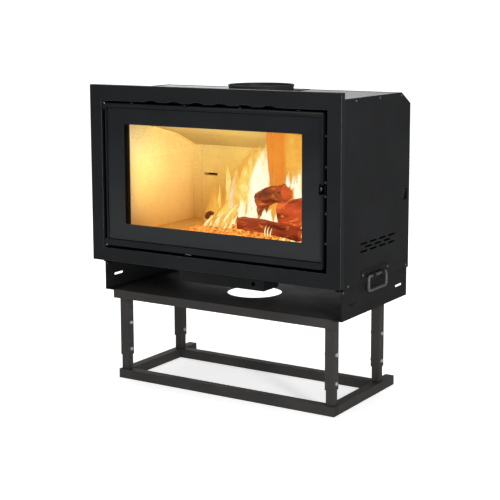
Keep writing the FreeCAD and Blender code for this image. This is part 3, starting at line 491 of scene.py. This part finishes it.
def cut_wood():
    """The sawn end of a burning log, with its year rings; its red glow is partly ember glow and partly
    painted firelight.
    """
    s = Shader("log_end")
    rings = s.add("ShaderNodeTexWave", {"Vector": s.place, "Scale": 55.0, "Distortion": 4.0, "Detail": 2.0},
                  wave_type="RINGS", rings_direction="X").outputs["Fac"]
    shade = s.ramp(rings, [(0.2, (0.09, 0.012, 0.006)), (0.8, (0.15, 0.025, 0.012))])
    spread = s.noise(60.0, 4.0)
    return s.surface(
        Base_Color=shade, Roughness=s.range(rings, 0.8, 0.95),
        # partly painted light: the whole end glows red, for the firelight falling on it as well as its own
        # embers
        Emission_Color=s.ramp(rings, [(0.2, (1.0, 0.10, 0.022)), (0.8, (1.0, 0.15, 0.04))]),
        Emission_Strength=s.range(spread, 0.34, 0.56),
        Normal=s.bump(rings, 0.0006, 0.7),
    )


def glowing_coal():
    """Charcoal and ash with fire in every gap."""
    s = Shader("embers")
    lumps = s.cells(60.0, "Distance", "DISTANCE_TO_EDGE")
    heat = s.noise(16.0, 4.0, 0.6)
    glow = s.math("MULTIPLY", s.ramp(lumps, [(0.0, 1.0), (0.2, 0.25)]), s.range(heat, 0.25, 1.0))
    ash = s.ramp(s.noise(90.0, 5.0, 0.7), [(0.35, (0.05, 0.02, 0.01)), (0.7, (0.30, 0.17, 0.09))])
    return s.surface(
        Base_Color=ash, Roughness=s.range(heat, 0.8, 0.97),
        Emission_Color=s.ramp(glow, [(0.0, (0.8, 0.13, 0.012)), (0.4, (1.0, 0.30, 0.03)),
                                     (0.9, (1.0, 0.60, 0.13))]),
        Emission_Strength=s.range(glow, 0.30, 1.9, 0.0, 1.0),
        Normal=s.bump(s.noise(120.0, 4.0), 0.001, 0.8),
    )


def flame(name, edge_heat, core_heat, cover=1.0, ragged=1.1, full=0.75):
    """Burning gas: hot along a tongue's middle, thinning out in upward wisps towards its edges."""
    s = Shader(name)
    spot = s.add("ShaderNodeUVMap", uv_map="tongue").outputs["UV"]
    parts = s.add("ShaderNodeSeparateXYZ", {"Vector": spot})
    off = s.math("ABSOLUTE", s.math("SUBTRACT", parts.outputs["X"], 0.5))
    across = s.ramp(off, [(0.0, 1.0), (0.2, 0.86), (0.5, 0.0)], "EASE")
    along = s.ramp(parts.outputs["Y"], [(0.0, 0.25), (0.12, 0.9), (0.4, 1.0), (0.75, 0.66), (1.0, 0.0)])
    wisp = s.noise(24.0, 3.0, 0.5, s.stretched((1.0, 1.0, 0.22)), 1.6)
    torn = s.math("MULTIPLY", s.math("SUBTRACT", wisp, 0.5), ragged)
    body = s.math("MULTIPLY", across, along)
    dense = s.math("ADD", body, torn)
    rim = s.ramp(body, [(0.0, 0.0), (0.5, 1.0)])
    solid = s.math("MULTIPLY", s.range(dense, 0.0, cover, 0.12, full), rim)
    heat = s.range(dense, edge_heat, core_heat, 0.1, 1.1)
    colour = s.ramp(heat, [(0.0, (0.94, 0.24, 0.028)), (0.25, (1.0, 0.46, 0.06)), (0.5, (1.0, 0.74, 0.17)),
                           (0.75, (1.0, 0.93, 0.48)), (1.0, (1.0, 0.97, 0.75))])
    light = s.add("ShaderNodeEmission", {"Color": colour, "Strength": s.range(heat, 0.92, 1.1, 0.0, 1.0)})
    clear = s.add("ShaderNodeBsdfTransparent", {"Color": (1, 1, 1, 1)})
    s.material.cycles.emission_sampling = "NONE"
    return s.blend(solid, clear.outputs["BSDF"], light.outputs["Emission"])


# ---- CAD nodes: finish and softened edges ----
PAINTED_FRAME = ("front_frame", "frame_neck", "door_trim")
SOOTED = ("door_frame", "front_plate", "firebox_shell", "strike_plate")
SKIRTS = ("skirt_right", "skirt_left")
CASING_BLACK = (0.0098, 0.0103, 0.0112)
CASING_ROUGH = 0.46


def finishes_by_slot():
    return {
        "casing_steel": paint("casing_paint", CASING_BLACK, CASING_ROUGH),
        "stand_steel": paint("stand_powder_coat", (0.042, 0.038, 0.036), 0.5, 800.0, 0.00006),
        "galvanised_sheet": galvanised(),
        "firebox_steel": heated_steel(),
        "refractory": vermiculite(),
        "cast_iron": cast_iron(),
        "ceramic_glass": clear_glass(),
        "seal_rope": braided_rope(),
        "machined_steel": bright_metal("machined_steel", (0.45, 0.45, 0.46), 0.3),
        "zinc_fastener": bright_metal("zinc_fastener", (0.80, 0.80, 0.78), 0.5, EVEN, 0.6),
        "handle_rod": bright_metal("handle_rod", (0.15, 0.15, 0.155), 0.36, (1.0, 30.0, 1.0), 0.5),
        "bracket_steel": paint("bracket_paint", (0.010, 0.010, 0.011), 0.42),
        "black_plastic": moulded_plastic(),
    }


def finishes_by_node():
    """Every node's finish: its slot's own, or another where the same stuff looks different."""
    by_slot = finishes_by_slot()
    finish_of = {row["node"]: by_slot[row["material_slot"]] for row in frame["record"]["subparts"]}
    finish_of.update(dict.fromkeys(
        PAINTED_FRAME, paint("surround_paint", (0.0092, 0.0100, 0.0110), 0.36, 1300.0, 0.00003, 0.5)))
    finish_of.update(dict.fromkeys(SOOTED, soot_black()))
    finish_of["flue_collar"] = paint("flue_paint", (0.032, 0.0325, 0.033), 0.5)
    finish_of["casing_screws"] = bright_metal("dulled_zinc", (0.20, 0.20, 0.20), 0.55, EVEN, 0.5)
    # the skirts' paint carries a painted shadow under the side panels' lower edge
    finish_of.update(dict.fromkeys(SKIRTS, paint("skirt_paint", CASING_BLACK, CASING_ROUGH, seam=SEAM)))
    finish_of["latch_pin"] = bright_metal("black_zinc", (0.045, 0.043, 0.041), 0.5, EVEN, 0.5)
    finish_of["baffle_rails"] = by_slot["refractory"]
    finish_of["baffle_boards"] = vermiculite("baffle_board", 0.5)
    return finish_of


def dress_cad_nodes():
    finish_of = finishes_by_node()
    for name, node in nodes.items():
        node.data.materials.clear()
        node.data.materials.append(finish_of[name])
        soften(node, edge_of(name))
    paint_frame_edge_highlight()


def paint_frame_edge_highlight():
    """The surround's rounded edges get a lighter, shinier metal than its paint: a painted highlight that
    draws bright lines along the bevels.
    """
    # painted highlight: a light, glossy metal on the bevel faces, so the frame's edges show as bright lines
    # in the key light
    edge_highlight = bright_metal("painted_edge_highlight", (0.30, 0.30, 0.31), 0.32, EVEN, 0.75)
    surround = nodes["front_frame"]
    surround.data.materials.append(edge_highlight)
    surround.modifiers["edges"].material = 1


SHEET_EDGE = 0.0006
EDGE_WIDTHS = (
    (("door_glass", "glass_seal", "hinge_pins", "latch_pin", "hinge_washers"), 0.0002),
    (("lining_right", "lining_left", "lining_back", "hearth_slab", "baffle_boards"), 0.0015),
    (("base_", "upper_leg", "lower_leg"), 0.0016),
    (("lift_handle",), 0.0),
    (("front_frame",), 0.0022),
    (("door_trim",), 0.0011),
)
WELD_REACH = 0.000005
FLAT_ANGLE = 0.4
SHARP_ANGLE = 35.0


def edge_of(name):
    """How far a node's edges are rounded, in metres."""
    for names, width in EDGE_WIDTHS:
        if name.startswith(names):
            return width
    return SHEET_EDGE


def soften(node, width):
    """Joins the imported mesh's loose triangles, rounds its hard edges and smooths the rest."""
    weld = node.modifiers.new("weld", "WELD")
    weld.merge_threshold = WELD_REACH
    if width:
        flats = node.modifiers.new("flats", "DECIMATE")
        flats.decimate_type = "DISSOLVE"
        flats.angle_limit = math.radians(FLAT_ANGLE)
        bevel = node.modifiers.new("edges", "BEVEL")
        bevel.width = width
        bevel.segments = 2
        bevel.limit_method = "ANGLE"
        bevel.angle_limit = math.radians(SHARP_ANGLE)
        bevel.harden_normals = False
    for face in node.data.polygons:
        face.use_smooth = True
    node.modifiers.new("normals", "WEIGHTED_NORMAL").keep_sharp = True


# ---- extra pieces ----
WINDOW_HALF = 0.320
WINDOW_LOW = 0.525
WINDOW_HIGH = 0.839
WINDOW_CORNER = 0.004
PRINT_EDGE = 0.0015
NOTCH_X = 0.376
NOTCH_LOW = 0.668
NOTCH_HIGH = 0.700
LOG_SIDES = 40
LOG_BOW = 0.004
EMBER_COUNT = 190
TONGUE_LEVELS = 24
TONGUE_SIDES = 10


def join_in(name, mesh, body, materials):
    made = bpy.data.objects.new(name, mesh)
    bpy.context.scene.collection.objects.link(made)
    for material in materials:
        made.data.materials.append(material)
    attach(made, body)
    return made


def piece(name, vertices, faces, materials, smooth=True):
    """A piece that belongs to the fire and moves with the stove."""
    mesh = bpy.data.meshes.new(name)
    mesh.from_pydata(vertices, [], faces)
    mesh.validate()
    for face in mesh.polygons:
        face.use_smooth = smooth
    return join_in(name, mesh, "stove", materials)


def rounded_corner(centre, radius, start, steps=6):
    """Points round a quarter circle in the X-Z plane, from the start angle in degrees."""
    turn = [math.radians(start + 90.0 * k / steps) for k in range(steps + 1)]
    return [(centre[0] + radius * math.cos(a), centre[1] + radius * math.sin(a)) for a in turn]


def print_outlines():
    """The printed border in the X-Z plane: its outer edge, open round the latch notch, and its window."""
    left, right = glass_low.x + PRINT_EDGE, glass_high.x - PRINT_EDGE
    low, high = glass_low.z + PRINT_EDGE, glass_high.z - PRINT_EDGE
    notch = [(right, NOTCH_LOW), (NOTCH_X, NOTCH_LOW), (NOTCH_X, NOTCH_HIGH), (right, NOTCH_HIGH)]
    outer = [(left, low), (right, low), *notch, (right, high), (left, high)]
    half, foot, head = WINDOW_HALF - WINDOW_CORNER, WINDOW_LOW + WINDOW_CORNER, WINDOW_HIGH - WINDOW_CORNER
    window = []
    for x, z, start in ((half, head, 0), (-half, head, 90), (-half, foot, 180), (half, foot, 270)):
        window += rounded_corner((x, z), WINDOW_CORNER, start)
    return outer, window


def make_glass_print():
    """The opaque border on the back of the door glass."""
    front, back = glass_high.y - 0.0006, glass_high.y - 0.0001
    work = bmesh.new()
    rings = []
    for outline in print_outlines():
        ring = [work.verts.new((x, front, z)) for x, z in outline]
        rings += [work.edges.new((ring[k - 1], ring[k])) for k in range(len(ring))]
    bmesh.ops.triangle_fill(work, use_beauty=True, edges=rings, normal=(0, -1, 0))
    thick = bmesh.ops.extrude_face_region(work, geom=list(work.faces))
    moved = [v for v in thick["geom"] if isinstance(v, bmesh.types.BMVert)]
    bmesh.ops.translate(work, verts=moved, vec=(0, back - front, 0))
    bmesh.ops.recalc_face_normals(work, faces=list(work.faces))
    mesh = bpy.data.meshes.new("glass_print")
    work.to_mesh(mesh)
    work.free()
    join_in("glass_print", mesh, "door", [printed_black()])


def log_sections(rings):
    """Where a log's rings lie along it, and how much each is drawn in at the ends."""
    shares = [0.0, 0.004, 0.012]
    shares += [0.012 + 0.976 * k / (rings - 1) for k in range(1, rings)] + [0.996, 1.0]
    last = len(shares) - 1
    trim = {0: 0.86, 1: 0.95, last - 1: 0.95, last: 0.86}
    return [(share, trim.get(level, 1.0)) for level, share in enumerate(shares)]


def log_skin(start, end, outline, offset, rings, gnarl):
    """Points of the bark, ring by ring."""
    along = (end - start).normalized()
    side = along.cross(Vector((0, 0, 1))).normalized()
    up = side.cross(along)
    vertices = []
    for share, trim in log_sections(rings):
        centre = start.lerp(end, share)
        bow = math.sin(share * math.pi) * LOG_BOW
        for k in range(LOG_SIDES):
            angle = 2 * math.pi * k / LOG_SIDES
            radius = outline(k / LOG_SIDES)
            way = side * math.cos(angle) + up * math.sin(angle)
            spot = centre + way * radius
            coarse = noise.noise(spot * 22.0 + offset)
            ridges = noise.noise(way * radius * 260.0 + along * share * 9.0 + offset)
            grain = noise.noise(spot * 190.0 + offset)
            radius *= 1.0 + gnarl * coarse + 0.55 * gnarl * ridges + 0.22 * gnarl * grain
            radius *= trim
            vertices.append(centre + way * radius + up * bow)
    return vertices


def log_cap(vertices, first, where, along, offset, flip):
    """Adds one sawn end's points, and gives its faces: a ring round a hub."""
    base = len(vertices)
    inner = [where.lerp(vertices[first + k], 0.55) for k in range(LOG_SIDES)]
    vertices += [spot + along * 0.0012 * noise.noise(spot * 300.0 + offset) for spot in inner]
    hub = len(vertices)
    vertices.append(where)
    faces = []
    for k in range(LOG_SIDES):
        after = (k + 1) % LOG_SIDES
        faces.append((first + k, first + after, base + after, base + k))
        faces.append((base + k, base + after, hub))
    return [face[::-1] for face in faces] if flip else faces


def make_log(name, start, end, outline, seed, materials, rings=44, gnarl=0.10):
    """A log along a line. outline gives the cross-section's radius at a share of a turn."""
    offset = Vector((seed * 3.7, seed * 1.3, seed * 5.1))
    along = (end - start).normalized()
    vertices = log_skin(start, end, outline, offset, rings, gnarl)
    last = len(vertices) - LOG_SIDES
    faces = []
    for row in range(0, last, LOG_SIDES):
        above = row + LOG_SIDES
        for k in range(LOG_SIDES):
            after = (k + 1) % LOG_SIDES
            faces.append((row + k, above + k, above + after, row + after))
    caps = log_cap(vertices, 0, start, along, offset, False)
    caps += log_cap(vertices, last, end, along, offset, True)
    made = piece(name, vertices, faces + caps, materials)
    for face in made.data.polygons[len(faces):]:
        face.material_index = 1


def round_outline(radius):
    return lambda share: radius


def split_outline(half_width, half_height, power=5.0):
    """A sawn or split billet: a rounded rectangle."""
    def radius(share):
        a = 2 * math.pi * share
        across = abs(math.cos(a)) / half_width
        upward = abs(math.sin(a)) / half_height
        return (across ** power + upward ** power) ** (-1.0 / power)
    return radius


def wedge_outline(size):
    """A quarter log: two split faces and a round back."""
    def radius(share):
        a = 2 * math.pi * share
        flats = [math.radians(f) for f in (250.0, 340.0)]
        reach = [size * 0.42 / max(0.05, math.cos(a - f)) for f in flats if math.cos(a - f) > 0.05]
        return min([size] + reach)
    return radius


def make_logs():
    bark = charred_wood("log_bark", (0.085, 0.018, 0.008), 0.30)
    raw = charred_wood("log_split", (0.12, 0.024, 0.009), 0.55)
    char = charred_wood("log_char", (0.030, 0.011, 0.007), 0.10)
    end = cut_wood()
    make_log("log_upper", inside(6, 280, 590), inside(124, 248, 628),
             round_outline(0.027), 1, [bark, end], gnarl=0.24)
    make_log("log_fork", inside(16, 276, 548), inside(40, 264, 606),
             round_outline(0.019), 2, [bark, end], 18, gnarl=0.3)
    make_log("log_front", inside(-10, 192, 528), inside(236, 148, 517),
             split_outline(0.020, 0.019), 3, [bark, raw])
    make_log("log_right", inside(128, 224, 556), inside(262, 210, 582),
             split_outline(0.034, 0.044, 3.0), 4, [raw, end])
    make_log("log_back", inside(100, 322, 500), inside(222, 252, 540),
             wedge_outline(0.060), 5, [raw, end])
    make_log("log_under", inside(-120, 320, 506), inside(70, 300, 512),
             split_outline(0.02, 0.017), 6, [bark, end])
    make_log("log_stub", inside(-222, 316, 512), inside(-194, 304, 530),
             round_outline(0.008), 7, [char, char], 14, gnarl=0.4)


def lump(vertices, faces, centre, size, rng):
    """One piece of charcoal: a small uneven faceted solid."""
    work = bmesh.new()
    bmesh.ops.create_icosphere(work, subdivisions=2, radius=1.0)
    stretch = Vector((rng.uniform(0.7, 1.3), rng.uniform(0.7, 1.3), rng.uniform(0.5, 0.9)))
    turn = Matrix.Rotation(rng.uniform(0, math.tau), 3, "Z")
    turn = turn @ Matrix.Rotation(rng.uniform(-0.5, 0.5), 3, "X")
    offset = Vector((rng.uniform(0, 50), rng.uniform(0, 50), rng.uniform(0, 50)))
    first = len(vertices)
    for vertex in work.verts:
        direction = vertex.co.normalized()
        broad = noise.noise(direction * 1.7 + offset)
        fine = noise.noise(direction * 5.0 + offset)
        cut = 1.0 + 0.45 * broad + 0.15 * fine
        spot = Vector(a * b for a, b in zip(direction * cut, stretch))
        vertices.append(centre + turn @ spot * size)
    faces += [tuple(first + v.index for v in face.verts) for face in work.faces]
    work.free()


def make_embers():
    """Loose charcoal heaped towards the middle of the fire."""
    rng = random.Random(11)
    vertices, faces = [], []
    for _ in range(EMBER_COUNT):
        x = rng.uniform(-205, 255)
        depth = rng.uniform(135, 340)
        spread = math.hypot((x - 25) / 230.0, (depth - 240) / 105.0)
        if spread > 1.0:
            continue
        size = rng.uniform(0.006, 0.013) * (1.15 - 0.5 * spread)
        lift = (1.0 - spread) * rng.uniform(0.0, 12.0)
        centre = inside(x, depth, 0)
        centre.z = HEARTH + size * 0.75 + lift * MM
        lump(vertices, faces, centre, size, rng)
    piece("embers", vertices, faces, [glowing_coal()], smooth=False)


def make_ash_bed():
    """A low heap of glowing ash on the grate and the hearth round it."""
    across, back = 56, 28
    vertices, faces = [], []
    for j in range(back + 1):
        for i in range(across + 1):
            u, v = i / across, j / back
            spot = inside(-230 + 500 * u, 110 + 255 * v, 0)
            rim = math.sin(math.pi * u) ** 0.6 * math.sin(math.pi * v) ** 0.6
            rough = noise.noise(spot * 26.0) * 0.5 + noise.noise(spot * 90.0) * 0.25
            spot.z = HEARTH + 0.0002 + rim * max(0.001, 0.009 + 0.008 * rough)
            vertices.append(spot)
    row = across + 1
    for j in range(back):
        for i in range(across):
            a = j * row + i
            faces.append((a, a + 1, a + row + 1, a + row))
    under = len(vertices)
    vertices += [Vector((v.x, v.y, HEARTH + 0.0001)) for v in vertices]
    faces += [tuple(under + k for k in face[::-1]) for face in faces]
    rim_loop = list(range(row)) + [j * row + across for j in range(1, back + 1)]
    rim_loop += [back * row + i for i in range(across - 1, -1, -1)]
    rim_loop += [j * row for j in range(back - 1, 0, -1)]
    for k, here in enumerate(rim_loop):
        after = rim_loop[(k + 1) % len(rim_loop)]
        faces.append((here, under + here, under + after, after))
    piece("ash_bed", vertices, faces, [glowing_coal()])


def add_tongue(build, foot, tip, width, bow, flat, phase):
    """One closed flame tongue: a leaf that curves from its foot to a pointed tip."""
    vertices, faces, spots = build
    levels, count = TONGUE_LEVELS, TONGUE_SIDES
    first = len(vertices)
    for level in range(levels + 1):
        share = level / levels
        body = math.sin(math.pi * share ** 0.55) ** 0.8 if 0 < level < levels else 0.0
        half = 0.5 * width * (body * (1.0 - 0.3 * share) + 0.02)
        centre = foot.lerp(tip, share)
        centre.x += bow * math.sin(math.pi * share) + 0.10 * width * math.sin(phase + 7.0 * share) * share
        centre.y += 0.08 * width * math.cos(phase * 1.7 + 5.0 * share) * share
        twist = 0.4 * math.sin(phase + 3.0 * share)
        for k in range(count):
            angle = 2 * math.pi * k / count
            x, y = half * math.cos(angle), half * flat * math.sin(angle)
            across = x * math.cos(twist) - y * math.sin(twist)
            deep = x * math.sin(twist) + y * math.cos(twist)
            vertices.append(centre + Vector((across, deep, 0.0)))
            spots.append((0.5 + 0.5 * math.cos(angle), share))
    for level in range(levels):
        for k in range(count):
            after = (k + 1) % count
            a, b = first + level * count, first + (level + 1) * count
            faces.append((a + k, a + after, b + after, b + k))
    faces.append(tuple(first + k for k in range(count))[::-1])
    faces.append(tuple(first + levels * count + k for k in range(count)))


def make_flames(name, tongues, material, strands=0, flat=0.4):
    """Each tongue is its foot and tip (across, depth, height), then width and bow, in millimetres.

    Thin strands of flame run up inside each broad tongue.
    """
    rng = random.Random(len(name) * 31)
    build = ([], [], [])
    for foot_at, tip_at, width, bow in tongues:
        foot, tip = inside(*foot_at), inside(*tip_at)
        add_tongue(build, foot, tip, width * MM, bow * MM, flat, rng.uniform(0.0, math.tau))
        for _ in range(strands):
            beside = rng.uniform(-0.34, 0.34) * width * MM
            low, high = rng.uniform(0.0, 0.4), rng.uniform(0.62, 0.98)
            shift = Vector((beside, -rng.uniform(2.0, 12.0) * MM, 0.0))
            arch = bow * rng.uniform(0.5, 1.0) + rng.uniform(-0.1, 0.1) * width
            start, end = foot.lerp(tip, low) + shift, foot.lerp(tip, high) + shift * 0.4
            thin = min(0.34 * width, rng.uniform(8.0, 17.0))
            add_tongue(build, start, end, thin * MM, arch * MM, 0.6, rng.uniform(0.0, math.tau))
    vertices, faces, spots = build
    made = piece(name, vertices, faces, [material])
    layer = made.data.uv_layers.new(name="tongue")
    for loop in made.data.loops:
        layer.data[loop.index].uv = spots[loop.vertex_index]
    made.visible_shadow = False
    return made


WHITE_TONGUES = (
    ((-44, 320, 535), (108, 168, 814), 64, -10), ((-16, 326, 560), (60, 236, 790), 62, 2),
    ((-74, 300, 530), (-44, 300, 706), 34, -6), ((-110, 296, 540), (-96, 296, 676), 30, -4),
    ((-52, 262, 516), (-42, 262, 606), 34, -4), ((-26, 262, 516), (-22, 262, 600), 30, 4),
    ((4, 258, 518), (2, 258, 584), 34, -5), ((32, 256, 520), (40, 256, 574), 34, 5),
    ((60, 254, 522), (62, 254, 576), 30, -4), ((84, 250, 524), (92, 250, 580), 30, 4),
    ((108, 244, 524), (116, 244, 566), 26, 3), ((96, 232, 528), (136, 232, 606), 20, 6),
    ((112, 228, 528), (154, 228, 592), 14, 6), ((170, 240, 590), (148, 240, 716), 42, 10),
    ((190, 236, 566), (176, 236, 752), 46, 4), ((122, 262, 640), (128, 250, 700), 20, 2),
)
YELLOW_TONGUES = (
    ((-96, 334, 520), (50, 220, 800), 100, -14), ((-128, 300, 536), (-150, 300, 738), 22, 18),
    ((-161, 300, 540), (-161, 300, 642), 12, 1), ((-118, 306, 528), (-92, 306, 706), 52, -8),
    ((-84, 310, 530), (-30, 290, 752), 56, -8), ((-150, 286, 484), (-100, 286, 600), 60, -10),
    ((-120, 270, 484), (-60, 270, 590), 60, -8), ((200, 250, 560), (204, 190, 812), 64, 6),
    ((222, 160, 486), (240, 160, 560), 34, 3),
)
STREAKS = (
    ((-186, 240, 484), (-134, 240, 544), 17, -6), ((-150, 240, 482), (-88, 240, 562), 14, -10),
    ((-122, 244, 484), (-24, 244, 604), 13, -14), ((-90, 236, 484), (-66, 236, 540), 13, 5),
    ((-164, 232, 480), (-146, 232, 526), 12, 4), ((-132, 236, 478), (-112, 236, 542), 14, -5),
    ((-106, 234, 480), (-92, 234, 528), 12, 4), ((-72, 240, 484), (-44, 240, 556), 15, -7),
    ((-44, 246, 486), (-28, 246, 566), 18, 5), ((-58, 232, 482), (-50, 232, 520), 10, -3),
    ((196, 150, 484), (214, 150, 524), 24, 4), ((170, 146, 484), (186, 146, 512), 22, -3),
    ((118, 132, 505), (126, 132, 546), 6, -5), ((127, 132, 503), (137, 132, 545), 6, -5),
    ((136, 132, 504), (146, 132, 540), 5, -4),
)
# painted light: these veils are partly burning gas and partly glowing sheets before the back wall, painting
# its firelit orange and a red-brown streak
ORANGE_VEILS = (
    ((-206, 336, 460), (-196, 336, 640), 150, 0), ((-150, 336, 470), (-140, 336, 680), 150, 0),
    ((-90, 342, 480), (10, 240, 806), 150, -10), ((176, 330, 484), (190, 190, 812), 130, 0),
    ((60, 300, 480), (70, 300, 660), 240, 0), ((-110, 250, 470), (-100, 250, 560), 190, 0),
    ((224, 100, 846), (118, 350, 560), 96, 0),
)
RED_VEILS = (((186, 96, 846), (28, 362, 556), 104, 0), ((150, 100, 846), (0, 362, 560), 32, 4))


def make_fire():
    """From the hottest flames inwards to the broad veils behind them, partly burning gas and partly painted
    firelight on the back wall.
    """
    make_flames("flames_white", WHITE_TONGUES, flame("flame_white", 0.62, 1.06, 1.0, 1.5, 0.95), 3)
    make_flames("flames_yellow", YELLOW_TONGUES, flame("flame_yellow", 0.24, 0.60, 0.95, 2.2, 0.95), 3)
    make_flames("flames_streaks", STREAKS, flame("flame_streak", 0.46, 0.84, 0.95, 0.5, 0.6), 0, 0.6)
    make_flames("flames_veil", ORANGE_VEILS, flame("flame_orange", 0.06, 0.34, 0.85, 0.9, 1.2), 0, 0.2)
    make_flames("flames_red", RED_VEILS, flame("flame_red", -0.05, 0.13, 0.9, 0.6), 0, 0.2)


# ---- build ----
make_camera()
make_studio()
dress_cad_nodes()
make_glass_print()
make_logs()
make_embers()
make_ash_bed()
make_fire()
